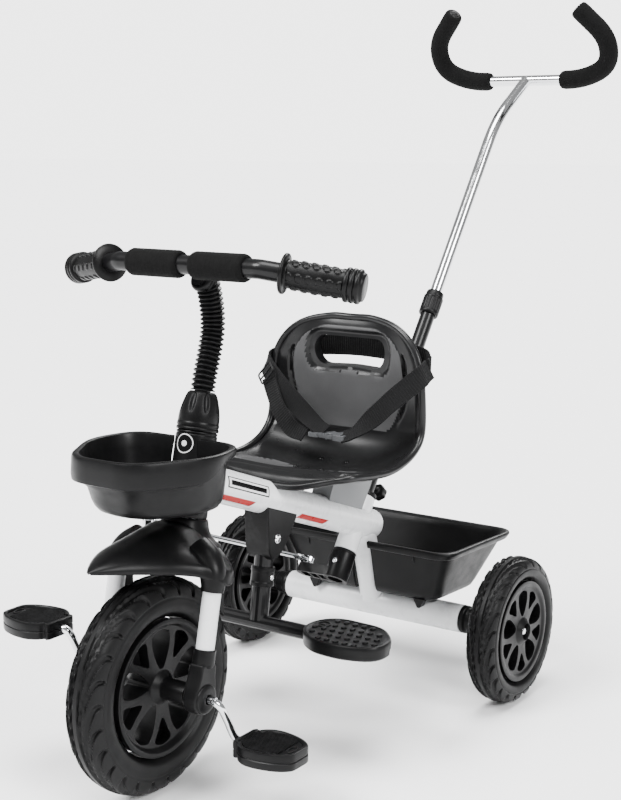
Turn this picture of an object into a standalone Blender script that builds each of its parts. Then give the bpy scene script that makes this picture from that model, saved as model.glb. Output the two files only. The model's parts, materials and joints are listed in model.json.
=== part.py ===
"""Children's tricycle with a parent's push handle that steers the front wheel.

The front of the tricycle faces -Y, the child's left hand is at +X and +Z is up.  The
floor is Z = 0 and the origin is under the middle of the whole length.  Every shape
below is worked out with Y counted from the front axle, and place() shifts it.
"""
import math

import bmesh
import bpy
from mathutils import Vector

# ------------------------------------------------------------------ driving dimensions
FRONT_AXLE_Y = -0.39951         # puts the middle of the whole length at Y = 0
GAP = 0.0004                    # clearance between pieces that touch
WHEELBASE = 0.479
HALF_TRACK = 0.2118

FRONT_RADIUS = 0.125
FRONT_BEAD = 0.0830             # inner radius of the tyre, where it sits on the rim
FRONT_HALF_WIDTH = 0.0240
REAR_RADIUS = 0.0968
REAR_BEAD = 0.0700
REAR_HALF_WIDTH = 0.0207
WHEEL_SEGMENTS = 32
SPOKES = 5

HEAD_TILT = math.radians(13.7)  # steering axis, leaning back
HEAD_BASE = Vector((0.0, 0.0644, 0.3000))
HEAD_BORE = 0.0145
HEAD_RADIUS = 0.0190
COLLAR_RADIUS = 0.0240
STEERER_RADIUS = 0.0125
NUT_TOP = 0.1520                # top of the lock nut, along the steering axis

FORK_SPREAD = 0.0700            # leg centre lines, left and right of the middle
LEG_RADIUS = 0.0105
LEG_LEAN = math.radians(12.5)   # the legs point at the front axle

TUBE_RADIUS = 0.0210            # main tube
TUBE_SLOPE = 0.360              # fall per metre towards the rear
TUBE_START_Y = 0.080
TUBE_END_Y = 0.458

POLE_TILT = math.radians(35.6)  # push pole and its steering tube, leaning back
POLE_BASE = Vector((0.0, 0.4015, 0.1870))
POLE_RADIUS = 0.0105
POLE_BORE = 0.0092
SOCKET_RADIUS = 0.0155
SOCKET_LENGTH = 0.0810
UPPER_RADIUS = 0.0086
POLE_COLLAR_AT = 0.3960         # from POLE_BASE, along the pole
POLE_TOP = Vector((0.0, 0.9105, 0.8236))
POLE_BEND = Vector((0.0, 0.8130, 0.7618))

AXLE_TUBE_RADIUS = 0.0190
AXLE_TUBE_HALF = 0.1410
AXLE_ROD_RADIUS = 0.0040

CRANK_LENGTH = 0.0620
CRANK_ANGLE = math.radians(29.0)  # left crank, from straight down towards the rear
CRANK_ROD_RADIUS = 0.0045
PEDAL_INNER_X = 0.1080
PEDAL_OUTER_X = 0.1870

FRONT_LEVER = Vector((-0.0640, 0.0740, 0.2893))
REAR_LEVER_ARM = 0.0500
REAR_LEVER_DROP = 0.0270        # below POLE_BASE, along the pole

FOOTREST_PIVOT = Vector((0.0, 0.2217, 0.2476))
CROSS_TUBE = Vector((0.0, 0.2050, 0.1420))
FOOTPLATE_TOP = 0.1580

HANDLEBAR = Vector((0.0, 0.0772, 0.5952))
BUCKLE = Vector((0.0, 0.3650, 0.3520))

X_AXIS = Vector((1.0, 0.0, 0.0))
Y_AXIS = Vector((0.0, 1.0, 0.0))
Z_AXIS = Vector((0.0, 0.0, 1.0))
HEAD_AXIS = Vector((0.0, math.sin(HEAD_TILT), math.cos(HEAD_TILT)))
POLE_AXIS = Vector((0.0, math.sin(POLE_TILT), math.cos(POLE_TILT)))
FRONT_AXLE = Vector((0.0, 0.0, FRONT_RADIUS))
REAR_AXLE = Vector((0.0, WHEELBASE, REAR_RADIUS))


# ------------------------------------------------------------------ materials
def make_material(name, colour, roughness, metallic=0.0):
    made = bpy.data.materials.new(name)
    made.use_nodes = True
    shader = made.node_tree.nodes["Principled BSDF"]
    shader.inputs["Base Color"].default_value = (*colour, 1.0)
    shader.inputs["Roughness"].default_value = roughness
    shader.inputs["Metallic"].default_value = metallic
    return made


def make_materials():
    return {
        "frame": make_material("frame_paint", (0.78, 0.79, 0.80), 0.32),
        "gusset": make_material("gusset_paint", (0.45, 0.46, 0.47), 0.45),
        "steel": make_material("black_steel", (0.022, 0.022, 0.024), 0.38, 0.3),
        "plastic": make_material("black_plastic", (0.020, 0.020, 0.022), 0.42),
        "seat": make_material("seat_plastic", (0.024, 0.024, 0.026), 0.38),
        "rubber": make_material("tyre_rubber", (0.018, 0.018, 0.019), 0.62),
        "foam": make_material("foam", (0.012, 0.012, 0.012), 0.85),
        "grip": make_material("grip_rubber", (0.018, 0.018, 0.018), 0.55),
        "chrome": make_material("chrome", (0.78, 0.79, 0.80), 0.10, 1.0),
        "webbing": make_material("webbing", (0.014, 0.014, 0.015), 0.80),
        "buckle": make_material("buckle_plastic", (0.32, 0.33, 0.34), 0.35),
    }


# ------------------------------------------------------------------ mesh tools
def place(bm, name, made_of, origin=(0.0, 0.0, 0.0), sharp=35.0):
    """Turn a bmesh drawn from the front axle into an object with the given origin."""
    origin = Vector(origin)
    bmesh.ops.recalc_face_normals(bm, faces=bm.faces)
    bmesh.ops.translate(bm, verts=bm.verts, vec=-origin)
    mesh = bpy.data.meshes.new(name)
    bm.to_mesh(mesh)
    bm.free()
    mesh.materials.append(made_of)
    mesh.shade_smooth()
    mesh.set_sharp_from_angle(angle=math.radians(sharp))
    obj = bpy.data.objects.new(name, mesh)
    obj.location = origin + FRONT_AXLE_Y * Y_AXIS
    bpy.context.collection.objects.link(obj)
    return obj


def boolean(target, tool, operation="DIFFERENCE"):
    """Cut the target with a tool object, or join the tool to it."""
    modifier = target.modifiers.new(tool.name, "BOOLEAN")
    modifier.operation = operation
    modifier.object = tool
    tool.hide_render = True
    tool.display_type = "WIRE"


def side_vectors(direction):
    """Two vectors square to a direction: one level, one upright."""
    direction = direction.normalized()
    first = X_AXIS if abs(direction.x) < 0.5 else Y_AXIS
    first = (first - direction * first.dot(direction)).normalized()
    return first, direction.cross(first)


def join_rings(bm, lower, upper):
    """Faces between two rings of the same count; a ring of one point makes a fan."""
    count = max(len(lower), len(upper))
    for i in range(count):
        j = (i + 1) % count
        if len(lower) == 1:
            bm.faces.new((lower[0], upper[j], upper[i]))
        elif len(upper) == 1:
            bm.faces.new((lower[i], lower[j], upper[0]))
        else:
            bm.faces.new((lower[i], lower[j], upper[j], upper[i]))


def loft(bm, loops, closed=False):
    """Skin a list of point loops, and close the ends unless the loft meets itself."""
    rings = [[bm.verts.new(point) for point in loop] for loop in loops]
    for lower, upper in zip(rings, rings[1:]):
        join_rings(bm, lower, upper)
    if closed:
        join_rings(bm, rings[-1], rings[0])
        return
    for ring in (rings[0], rings[-1]):
        if len(ring) > 2:
            bm.faces.new(ring)


def circle(centre, direction, radius, segments, phase=0.0):
    first, second = side_vectors(direction)
    points = []
    for i in range(segments):
        angle = phase + 2.0 * math.pi * i / segments
        points.append(centre + radius * (math.cos(angle) * first + math.sin(angle) * second))
    return points


def lathe(bm, profile, base, direction, segments, closed=False):
    """Turn (radius, height) points about an axis, with a flat facet square below it."""
    direction = direction.normalized()
    loops = []
    for radius, height in profile:
        centre = base + height * direction
        if radius == 0.0:
            loops.append([centre])
        else:
            loops.append(circle(centre, direction, radius, segments, math.pi / segments))
    loft(bm, loops, closed)


def turned(name, made_of, profile, base, direction, segments=20, closed=False, origin=None):
    bm = bmesh.new()
    lathe(bm, profile, base, direction, segments, closed)
    return place(bm, name, made_of, base if origin is None else origin)


def fillet(points, radius, steps, closed=False):
    """Round the corners of a line of points with short parabolic arcs."""
    points = [Vector(point) for point in points]
    count = len(points)
    result = []
    for i, corner in enumerate(points):
        if not closed and i in (0, count - 1):
            result.append(corner)
            continue
        back = points[i - 1] - corner
        ahead = points[(i + 1) % count] - corner
        start = corner + back.normalized() * min(radius, 0.48 * back.length)
        end = corner + ahead.normalized() * min(radius, 0.48 * ahead.length)
        for step in range(steps + 1):
            t = step / steps
            result.append(start * (1 - t) ** 2 + corner * 2 * t * (1 - t) + end * t ** 2)
    return result


def smooth_path(keys, per_span):
    """Catmull-Rom curve through the key points."""
    keys = [Vector(key) for key in keys]
    padded = [keys[0] * 2 - keys[1], *keys, keys[-1] * 2 - keys[-2]]
    result = []
    for i in range(1, len(padded) - 2):
        before, start, end, after = padded[i - 1:i + 3]
        for step in range(per_span):
            t = step / per_span
            result.append(0.5 * (2 * start + (end - before) * t
                                 + (2 * before - 5 * start + 4 * end - after) * t ** 2
                                 + (3 * start - before - 3 * end + after) * t ** 3))
    result.append(keys[-1])
    return result


def tangents(path):
    result = []
    for i in range(len(path)):
        ahead = path[min(i + 1, len(path) - 1)]
        behind = path[max(i - 1, 0)]
        result.append((ahead - behind).normalized())
    return result


def section_rings(path, radius, segments):
    """Round sections along a path, turned as little as possible from one to the next."""
    loops = []
    directions = tangents(path)
    first, _ = side_vectors(directions[0])
    for centre, direction in zip(path, directions):
        first = (first - direction * first.dot(direction)).normalized()
        second = direction.cross(first)
        size = radius(len(loops)) if callable(radius) else radius
        loop = []
        for i in range(segments):
            angle = 2.0 * math.pi * (i + 0.5) / segments
            loop.append(centre + size * (math.cos(angle) * first + math.sin(angle) * second))
        loops.append(loop)
    return loops


def swept(name, made_of, path, radius, segments=16, bore=0.0, origin=(0.0, 0.0, 0.0)):
    """A rod along a path, or a tube when it has a bore."""
    bm = bmesh.new()
    loops = section_rings(path, radius, segments)
    if bore:
        loops += reversed(section_rings(path, bore, segments))
    loft(bm, loops, closed=bool(bore))
    return place(bm, name, made_of, origin)


def prism(bm, outline, depth):
    """Push a flat outline along a vector."""
    loft(bm, [outline, [point + depth for point in outline]])


def slab(name, made_of, outline, depth, origin=(0.0, 0.0, 0.0)):
    bm = bmesh.new()
    prism(bm, outline, depth)
    return place(bm, name, made_of, origin)


def block(name, made_of, low, high, origin=(0.0, 0.0, 0.0)):
    outline = [Vector((low[0], low[1], low[2])), Vector((high[0], low[1], low[2])),
               Vector((high[0], high[1], low[2])), Vector((low[0], high[1], low[2]))]
    return slab(name, made_of, outline, Vector((0.0, 0.0, high[2] - low[2])), origin)


def bevel_edges(obj, width, segments=2):
    modifier = obj.modifiers.new("edge_round", "BEVEL")
    modifier.width = width
    modifier.segments = segments
    modifier.limit_method = "ANGLE"
    modifier.angle_limit = math.radians(40.0)


# ------------------------------------------------------------------ wheels
def facet_scale():
    """Widens a many-sided circle so that its flats lie on the true radius."""
    return 1.0 / math.cos(math.pi / WHEEL_SEGMENTS)


def tyre(name, made_of, radius, bead, half_width, centre):
    """Round-shouldered tyre with a narrow flat crown to stand on."""
    wall = radius - bead
    side = [(bead, 0.80), (bead + 0.30 * wall, 1.00), (bead + 0.60 * wall, 0.98),
            (bead + 0.88 * wall, 0.70), (radius, 0.30)]
    profile = [(r, -x * half_width) for r, x in side]
    profile += [(r, x * half_width) for r, x in reversed(side)]
    profile = [(r * facet_scale(), x) for r, x in profile]
    return turned(name, made_of, profile, centre, X_AXIS, WHEEL_SEGMENTS, closed=True)


def rim_window(name, made_of, centre, angle, inner, outer, half_angle):
    """Cutter for one opening between two spokes, narrow at the hub."""
    corners = []
    for radius, turn in ((inner, -0.25), (outer, -1.0), (outer * 1.06, 0.0),
                         (outer, 1.0), (inner, 0.25)):
        way = angle + turn * half_angle
        corners.append(centre + Vector((-0.06, radius * math.sin(way), radius * math.cos(way))))
    outline = fillet(corners, 0.006, 1, closed=True)
    return slab(name, made_of, outline, 0.12 * X_AXIS)


def rim(name, made_of, bead, half_width, bore, hub, centre):
    """Five-spoke plastic wheel: hub, web, and a barrel that carries the tyre."""
    inner_side, outer_side, hub_radius = hub
    barrel = bead - 0.0008
    well = barrel - 0.0070
    web = 0.0065
    edge = half_width + 0.0012
    profile = [(bore, inner_side), (hub_radius, inner_side), (hub_radius + 0.002, -web),
               (well - 0.003, -web), (well, -edge), (barrel, -edge), (barrel, edge),
               (well, edge), (well - 0.003, web), (hub_radius + 0.002, web),
               (hub_radius, outer_side), (bore, outer_side)]
    scale = facet_scale()
    wheel = turned(name, made_of, [(r * scale, x) for r, x in profile], centre, X_AXIS,
                   WHEEL_SEGMENTS, closed=True)
    for i in range(SPOKES):
        angle = 2.0 * math.pi * i / SPOKES
        window = rim_window(f"{name}_window_{i}", made_of, centre, angle,
                            hub_radius + 0.009, well - 0.010, math.radians(26.0))
        boolean(wheel, window)
    return wheel


def front_wheel(materials):
    tyre("front_tyre", materials["rubber"], FRONT_RADIUS, FRONT_BEAD + 0.0006,
         FRONT_HALF_WIDTH, FRONT_AXLE)
    rim("front_rim", materials["plastic"], FRONT_BEAD - 0.0024, 0.0215,
        CRANK_ROD_RADIUS + 0.0006, (-0.0560, 0.0560, 0.0165), FRONT_AXLE)


def rear_wheel(side, label, materials):
    centre = REAR_AXLE + side * HALF_TRACK * X_AXIS
    tyre(f"rear_tyre_{label}", materials["rubber"], REAR_RADIUS, REAR_BEAD + 0.0006,
         REAR_HALF_WIDTH, centre)
    ends = (-0.0240, 0.0100) if side > 0 else (-0.0100, 0.0240)
    rim(f"rear_rim_{label}", materials["plastic"], REAR_BEAD - 0.0024, 0.0180,
        AXLE_ROD_RADIUS + 0.0006, (*ends, 0.0150), centre)


def axle_nut(side, label, made_of):
    """Domed cap nut over the end of the rear axle."""
    base = REAR_AXLE + side * (HALF_TRACK + 0.0105) * X_AXIS
    bore = AXLE_ROD_RADIUS + GAP
    profile = [(0.0, 0.0060), (bore, 0.0060), (bore, 0.0), (0.0082, 0.0), (0.0082, 0.0015),
               (0.0068, 0.0020), (0.0068, 0.0070), (0.0040, 0.0095), (0.0, 0.0102)]
    turned(f"axle_nut_{label}", made_of, profile, base, side * X_AXIS, 12)


# ------------------------------------------------------------------ frame
def tube_point(y):
    """Centre line of the main tube."""
    return Vector((0.0, y, 0.3055 - (y - 0.2) * TUBE_SLOPE))


def cutter_rod(name, made_of, start, end, radius, segments=24):
    return swept(name, made_of, [start, end], radius, segments)


def frame(materials):
    paint = materials["frame"]
    tube_start = tube_point(TUBE_START_Y)
    tube_end = tube_point(TUBE_END_Y)
    along = (tube_end - tube_start).normalized()
    dome = [tube_end + along * step for step in (0.0060, 0.0110, 0.0140)]
    radii = [TUBE_RADIUS, TUBE_RADIUS, TUBE_RADIUS * 0.93, TUBE_RADIUS * 0.74,
             TUBE_RADIUS * 0.42]
    main_tube = swept("main_tube", paint, [tube_start, tube_end, *dome],
                      lambda i: radii[i], 24)

    head_tube = turned("head_tube", paint, [(HEAD_BORE, 0.0205), (HEAD_RADIUS, 0.0205),
                                            (HEAD_RADIUS, 0.0770), (HEAD_BORE, 0.0770)],
                       HEAD_BASE, HEAD_AXIS, closed=True)
    head_cut = cutter_rod("head_cutter", paint, HEAD_BASE - 0.05 * HEAD_AXIS,
                          HEAD_BASE + 0.15 * HEAD_AXIS, HEAD_RADIUS + GAP)
    boolean(main_tube, head_cut)

    pole_bore = POLE_RADIUS + 0.0010
    turned("pole_socket", paint, [(pole_bore, 0.0), (SOCKET_RADIUS, 0.0),
                                  (SOCKET_RADIUS, SOCKET_LENGTH), (pole_bore, SOCKET_LENGTH)],
           POLE_BASE, POLE_AXIS, closed=True)
    pole_cut = cutter_rod("pole_cutter", paint, POLE_BASE - 0.05 * POLE_AXIS,
                          POLE_BASE + 0.2 * POLE_AXIS, SOCKET_RADIUS + GAP)
    boolean(main_tube, pole_cut)

    tube_cut = cutter_rod("main_tube_cutter", paint, tube_start - 0.1 * along,
                          tube_end + 0.1 * along, TUBE_RADIUS + GAP)
    axle_cut = cutter_rod("axle_tube_cutter", paint, REAR_AXLE - 0.3 * X_AXIS,
                          REAR_AXLE + 0.3 * X_AXIS, AXLE_TUBE_RADIUS + GAP)
    rear_post = swept("rear_post", paint, [Vector((0.0, 0.4440, 0.2150)),
                                           Vector((0.0, 0.4740, 0.1040))], 0.0150, 24)
    for tool in (tube_cut, axle_cut, pole_cut):
        boolean(rear_post, tool)

    swept("rear_axle_tube", paint, [REAR_AXLE - AXLE_TUBE_HALF * X_AXIS,
                                    REAR_AXLE + AXLE_TUBE_HALF * X_AXIS],
          AXLE_TUBE_RADIUS, 24, bore=0.0165)
    rod_half = HALF_TRACK + 0.0160
    swept("rear_axle", materials["chrome"], [REAR_AXLE - rod_half * X_AXIS,
                                             REAR_AXLE + rod_half * X_AXIS],
          AXLE_ROD_RADIUS, 12)
    for side, label in ((1, "left"), (-1, "right")):
        cap = [(AXLE_ROD_RADIUS + GAP, 0.0), (0.0185, 0.0), (0.0185, 0.0060), (0.0150, 0.0090),
               (0.0135, 0.0448), (AXLE_ROD_RADIUS + GAP, 0.0448)]
        turned(f"axle_cap_{label}", materials["plastic"], cap,
               REAR_AXLE + side * (AXLE_TUBE_HALF + GAP) * X_AXIS, side * X_AXIS, 16, closed=True)
        axle_nut(side, label, materials["chrome"])

    outline = [Vector((-0.0150, y, z)) for y, z in
               ((0.258, 0.270), (0.4048, 0.2216), (0.4397, 0.2704), (0.4530, 0.2890),
                (0.4000, 0.3025), (0.3450, 0.3030), (0.3000, 0.3110), (0.2660, 0.3200))]
    gusset = slab("seat_gusset", materials["gusset"], outline, 0.030 * X_AXIS)
    for tool in (tube_cut, pole_cut):
        boolean(gusset, tool)

    bracket(materials["steel"], tube_cut)


def bracket(made_of, tube_cut):
    """Folded steel channel under the main tube, open at the back, for the footrest."""
    half = 0.0175
    wall = 0.0025
    front, rear = tube_point(0.2010), tube_point(0.2650)
    side = [(front.y, front.z), (rear.y, rear.z), (0.2620, 0.2640), (0.2400, 0.2360),
            (0.2280, 0.2250), (0.2120, 0.2225), (0.2050, 0.2300)]
    outline = fillet([Vector((-half, y, z)) for y, z in side], 0.008, 2, closed=True)
    channel = slab("footrest_bracket", made_of, outline, 2.0 * half * X_AXIS)
    inside = block("bracket_cutter", made_of, (wall - half, 0.2010 + wall, 0.20),
                   (half - wall, 0.30, 0.35))
    boolean(channel, inside)
    boolean(channel, tube_cut)


# ------------------------------------------------------------------ head and basket
def head(materials):
    turned("bearing_cup", materials["plastic"],
           [(STEERER_RADIUS + 0.0008, 0.0075), (0.0250, 0.0075), (0.0250, 0.0180),
            (0.0215, 0.0201), (STEERER_RADIUS + 0.0008, 0.0201)],
           HEAD_BASE, HEAD_AXIS, closed=True)
    turned("head_collar", materials["plastic"],
           [(STEERER_RADIUS + 0.0008, 0.0774), (COLLAR_RADIUS - 0.0015, 0.0774),
            (COLLAR_RADIUS, 0.0800), (COLLAR_RADIUS, 0.1040), (COLLAR_RADIUS - 0.0015, 0.1058),
            (STEERER_RADIUS + 0.0008, 0.1058)],
           HEAD_BASE, HEAD_AXIS, closed=True)


def tray_loop(front_half, middle_half, rear_half, front_y, middle_y, rear_y, z, corner):
    """Rounded six-cornered outline, narrow in front, level at height z."""
    corners = [(front_half, front_y), (middle_half, middle_y), (rear_half, rear_y),
               (-rear_half, rear_y), (-middle_half, middle_y), (-front_half, front_y)]
    return fillet([Vector((x, y, z)) for x, y in corners], corner, 4, closed=True)


def front_basket(materials):
    """Open tray in front of the head tube, slotted at the back to clear it."""
    bm = bmesh.new()

    def loop(grow, z, depth):
        """Outline at a height: depth runs from 0 at the rim to 1 at the floor."""
        return tray_loop(0.046 - 0.012 * depth + grow, 0.094 - 0.026 * depth + grow,
                         0.078 - 0.020 * depth + grow, -0.078 + 0.036 * depth - grow,
                         0.006 + 0.004 * depth, 0.076 - 0.014 * depth + grow, z, 0.030)

    loft(bm, [loop(-0.016, 0.3290, 1.0), loop(-0.006, 0.3330, 1.0), loop(-0.002, 0.3450, 0.80),
              loop(-0.004, 0.3800, 0.20), loop(-0.002, 0.3810, 0.15), loop(0.0, 0.3960, 0.0),
              loop(-0.0025, 0.3990, 0.0), loop(-0.0060, 0.3980, 0.0),
              loop(-0.0070, 0.3820, 0.20), loop(-0.0060, 0.3480, 0.80),
              loop(-0.0100, 0.3345, 1.0)])
    tray = place(bm, "front_basket", materials["plastic"])
    slot_half = COLLAR_RADIUS + 0.0012
    slot = []
    for z in (0.29, 0.44):
        centre = HEAD_BASE + HEAD_AXIS * ((z - HEAD_BASE.z) / HEAD_AXIS.z)
        arc = [centre + slot_half * Vector((math.cos(a), -math.sin(a), 0.0))
               for a in (math.pi * i / 8 for i in range(9))]
        slot.append([Vector((slot_half, 0.16, z)), *arc, Vector((-slot_half, 0.16, z))])
    bm = bmesh.new()
    loft(bm, slot)
    boolean(tray, place(bm, "basket_slot_cutter", materials["plastic"]))


def rear_basket(materials):
    """Deep tray over the rear axle, with a notch round the rear post."""
    bm = bmesh.new()

    def loop(grow, z, depth):
        front_half = 0.137 - 0.030 * depth + grow
        rear_half = 0.148 - 0.034 * depth + grow
        return tray_loop(front_half, 0.5 * (front_half + rear_half), rear_half,
                         0.436 + 0.018 * depth - grow, 0.520, 0.594 - 0.030 * depth + grow,
                         z, 0.026)

    loft(bm, [loop(-0.008, 0.1185, 1.0), loop(0.0, 0.1220, 0.98), loop(0.0, 0.1860, 0.10),
              loop(0.007, 0.1862, 0.10), loop(0.007, 0.1950, 0.0), loop(0.004, 0.1965, 0.0),
              loop(-0.002, 0.1950, 0.0), loop(-0.003, 0.1860, 0.12),
              loop(-0.003, 0.1250, 0.97), loop(-0.010, 0.1215, 1.0)])
    tray = place(bm, "rear_basket", materials["plastic"])
    notch = block("rear_basket_notch", materials["plastic"], (-0.0165, 0.40, 0.10),
                  (0.0165, 0.4920, 0.25))
    boolean(tray, notch)
    for side, label in ((1, "left"), (-1, "right")):
        x = side * 0.085
        profile = [(0.4560, 0.1200), (0.4660, 0.1200), (0.4590, 0.1130), (0.4540, 0.0960)]
        outline = [Vector((x - 0.009, y, z)) for y, z in profile]
        hook = slab(f"basket_hook_{label}", materials["plastic"], outline, 0.018 * X_AXIS)
        boolean(tray, hook, "UNION")


# ------------------------------------------------------------------ seat and belt
SEAT_LINE = [(0.226, 0.322), (0.232, 0.341), (0.252, 0.351), (0.285, 0.338), (0.325, 0.322),
             (0.370, 0.318), (0.402, 0.330), (0.416, 0.358), (0.412, 0.405), (0.406, 0.450),
             (0.407, 0.484), (0.414, 0.499)]
SEAT_HALF = [0.086, 0.099, 0.103, 0.108, 0.113, 0.117, 0.118, 0.118, 0.1180, 0.114, 0.096, 0.058]
SEAT_RIM = [-0.014, -0.012, -0.010, 0.000, 0.014, 0.022, 0.026, 0.022, 0.016, 0.009, 0.007, 0.004]
SEAT_THIGH = [0.016, 0.020, 0.020, 0.014, 0.006, 0.002, 0.0, 0.0, 0.0, 0.0, 0.0, 0.0]
SEAT_THICK = [0.010, 0.013, 0.014, 0.014, 0.014, 0.014, 0.015, 0.017, 0.020, 0.021, 0.018, 0.012]
SEAT_RIM_TAPER = 0.45           # how much thinner the shell is at its rim


def seat_rows(per_span):
    """Centre line, half width, rim height, thigh hollow and thickness, row by row."""
    keys = [Vector((y, z, half)) for (y, z), half in zip(SEAT_LINE, SEAT_HALF)]
    extra = [Vector(row) for row in zip(SEAT_RIM, SEAT_THIGH, SEAT_THICK)]
    return list(zip(smooth_path(keys, per_span), smooth_path(extra, per_span)))


def seat(materials):
    columns = 12
    rows = seat_rows(2)
    centres = [Vector((0.0, row.x, row.y)) for row, _ in rows]
    upper = []
    for (row, extra), direction in zip(rows, tangents(centres)):
        normal = Vector((0.0, -direction.z, direction.y))
        line = []
        for i in range(columns + 1):
            across = 2.0 * i / columns - 1.0
            spread = math.sin(across * math.pi / 2.0)
            lift = extra.x * abs(spread) ** 3 - extra.y * math.sin(math.pi * across) ** 2
            base = Vector((row.z * spread, row.x, row.y))
            thick = extra.z * (1.0 - SEAT_RIM_TAPER * abs(spread) ** 4)
            line.append((base + lift * normal, base + (lift - thick) * normal))
        upper.append(line)
    bm = bmesh.new()
    loops = [[pair[0] for pair in line] + [pair[1] for pair in reversed(line)] for line in upper]
    loft(bm, loops)
    shell = place(bm, "seat", materials["seat"], sharp=50.0)
    corners = [(-0.058, 0.435), (0.058, 0.435), (0.060, 0.479), (-0.060, 0.479)]
    outline = fillet([Vector((x, 0.36, z)) for x, z in corners], 0.016, 4, closed=True)
    boolean(shell, slab("seat_handle_cutter", materials["seat"], outline, 0.10 * Y_AXIS))


def strap(name, made_of, path, width_way, width, thickness, origin=(0.0, 0.0, 0.0)):
    """Flat webbing along a path; width_way is the direction across the strap."""
    loops = []
    for centre, direction in zip(path, tangents(path)):
        across = (width_way - direction * width_way.dot(direction)).normalized()
        normal = direction.cross(across)
        loops.append([centre + a * 0.5 * width * across + b * 0.5 * thickness * normal
                      for a, b in ((-1, -1), (1, -1), (1, 1), (-1, 1))])
    bm = bmesh.new()
    loft(bm, loops)
    return place(bm, name, made_of, origin)


def belt(materials):
    """Lap belt: a strap down each side of the seat back, and a buckle over the pan."""
    webbing = materials["webbing"]
    for side, label in ((1, "left"), (-1, "right")):
        path = smooth_path([(side * 0.1215, 0.4300, 0.4440), (side * 0.1215, 0.3850, 0.4340),
                            (side * 0.0950, 0.3700, 0.4100), (side * 0.0640, 0.3650, 0.3810),
                            (side * 0.0310, 0.3600, 0.3560)], 3)
        strap(f"belt_{label}", webbing, path, Vector((side * 0.32, -0.15, -0.94)), 0.027, 0.0022)
    back = smooth_path([(-0.1185, 0.4370, 0.4440), (-0.0900, 0.4440, 0.4500),
                        (0.0, 0.4440, 0.4530), (0.0900, 0.4440, 0.4500),
                        (0.1185, 0.4370, 0.4440)], 3)
    strap("belt_back", webbing, back, Z_AXIS, 0.027, 0.0022)
    buckle = block("belt_buckle", materials["buckle"], (-0.0290, BUCKLE.y - 0.0125, 0.3480),
                   (0.0290, BUCKLE.y + 0.0125, 0.3560))
    bevel_edges(buckle, 0.002, 1)


# ------------------------------------------------------------------ fork and fender
def leg_point(distance):
    """Point on a fork leg's line in the middle plane, measured up from the front axle."""
    return FRONT_AXLE + distance * Vector((0.0, math.sin(LEG_LEAN), math.cos(LEG_LEAN)))


def fork(materials):
    paint = materials["frame"]
    for side, label in ((1, "left"), (-1, "right")):
        offset = side * FORK_SPREAD * X_AXIS
        swept(f"fork_leg_{label}", paint, [leg_point(0.0385) + offset, leg_point(0.1290) + offset],
              LEG_RADIUS, 20)
        outline = []
        for i in range(9):
            angle = math.pi * i / 8
            outline.append((0.0185 * math.cos(angle), -0.0185 * math.sin(angle)))
        outline += [(-0.0150, 0.0220), (-0.0128, 0.0380), (0.0128, 0.0380), (0.0150, 0.0220)]
        inner = offset - 0.0100 * X_AXIS
        up = leg_point(1.0) - FRONT_AXLE
        rearward = Vector((0.0, up.z, -up.y))
        points = [FRONT_AXLE + inner + a * rearward + b * up for a, b in outline]
        cover = slab(f"fork_cover_{label}", materials["plastic"], points, 0.0200 * X_AXIS)
        bore = cutter_rod(f"cover_bore_{label}", paint, FRONT_AXLE + offset - 0.05 * X_AXIS,
                          FRONT_AXLE + offset + 0.05 * X_AXIS, CRANK_ROD_RADIUS + 0.0008, 16)
        cap = turned(f"hub_cap_{label}", materials["plastic"],
                     [(0.0, -0.0060), (0.0160, -0.0060), (0.0160, 0.0), (0.0140, 0.0025),
                      (0.0080, 0.0038), (0.0, 0.0038)],
                     FRONT_AXLE + side * (FORK_SPREAD + 0.0100) * X_AXIS, side * X_AXIS, 16)
        boolean(cover, cap, "UNION")
        boolean(cover, bore)
    top = leg_point(0.1520) + 0.0120 * Y_AXIS
    half = [top + 0.020 * X_AXIS, leg_point(0.1390) + (FORK_SPREAD - 0.004) * X_AXIS,
            leg_point(0.1330) + FORK_SPREAD * X_AXIS, leg_point(0.1294) + FORK_SPREAD * X_AXIS]
    arch = [Vector((-p.x, p.y, p.z)) for p in reversed(half)] + half
    crown = swept("fork_crown", paint, arch, LEG_RADIUS - 0.0010, 12)
    steerer = turned("fork_steerer", paint,
                     [(0.0, -0.0280), (0.0150, -0.0280), (0.0150, 0.0020),
                      (STEERER_RADIUS, 0.0030), (STEERER_RADIUS, 0.1450), (0.0, 0.1450)],
                     HEAD_BASE, HEAD_AXIS)
    boolean(crown, steerer, "UNION")


FENDER_ANGLES = [27.8, 24.5, 20.3, 15.0, 8.6, 2.0, -4.0, -9.0, -14.0, -19.0, -24.0, -31.0,
                 -39.0, -46.0]
FENDER_HALF = [0.010, 0.027, 0.038, 0.045, 0.049, 0.055, 0.070, 0.0850, 0.0870, 0.0860, 0.0800,
               0.058, 0.046, 0.030]
FENDER_CREST = [0.180, 0.186, 0.189, 0.190, 0.189, 0.188, 0.187, 0.1865, 0.1860, 0.1860,
                0.1840, 0.178, 0.170, 0.163]
FENDER_EDGE = [0.172, 0.160, 0.153, 0.147, 0.141, 0.138, 0.134, 0.125, 0.120, 0.120, 0.127,
               0.138, 0.146, 0.155]
FENDER_NECK = [0.0, 0.0, 0.0, 0.0, 0.05, 0.25, 0.6, 0.9, 1.0, 1.0, 0.8, 0.4, 0.1, 0.0]


def fender_height(across, neck):
    """Height of the section from edge (0) to crest (1): a dome, or a waisted neck."""
    across = min(abs(across), 1.0)
    dome = (1.0 - across ** 2.4) ** 0.55
    if across < 0.34:
        waist = 1.0
    elif across < 0.62:
        waist = 1.0 - 0.42 * ((across - 0.34) / 0.28) ** 0.8
    else:
        waist = 0.58 - 0.16 * (across - 0.62) / 0.38
        waist *= (1.0 - max(0.0, (across - 0.86) / 0.14) ** 3)
    return dome * (1.0 - neck) + waist * neck


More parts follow.
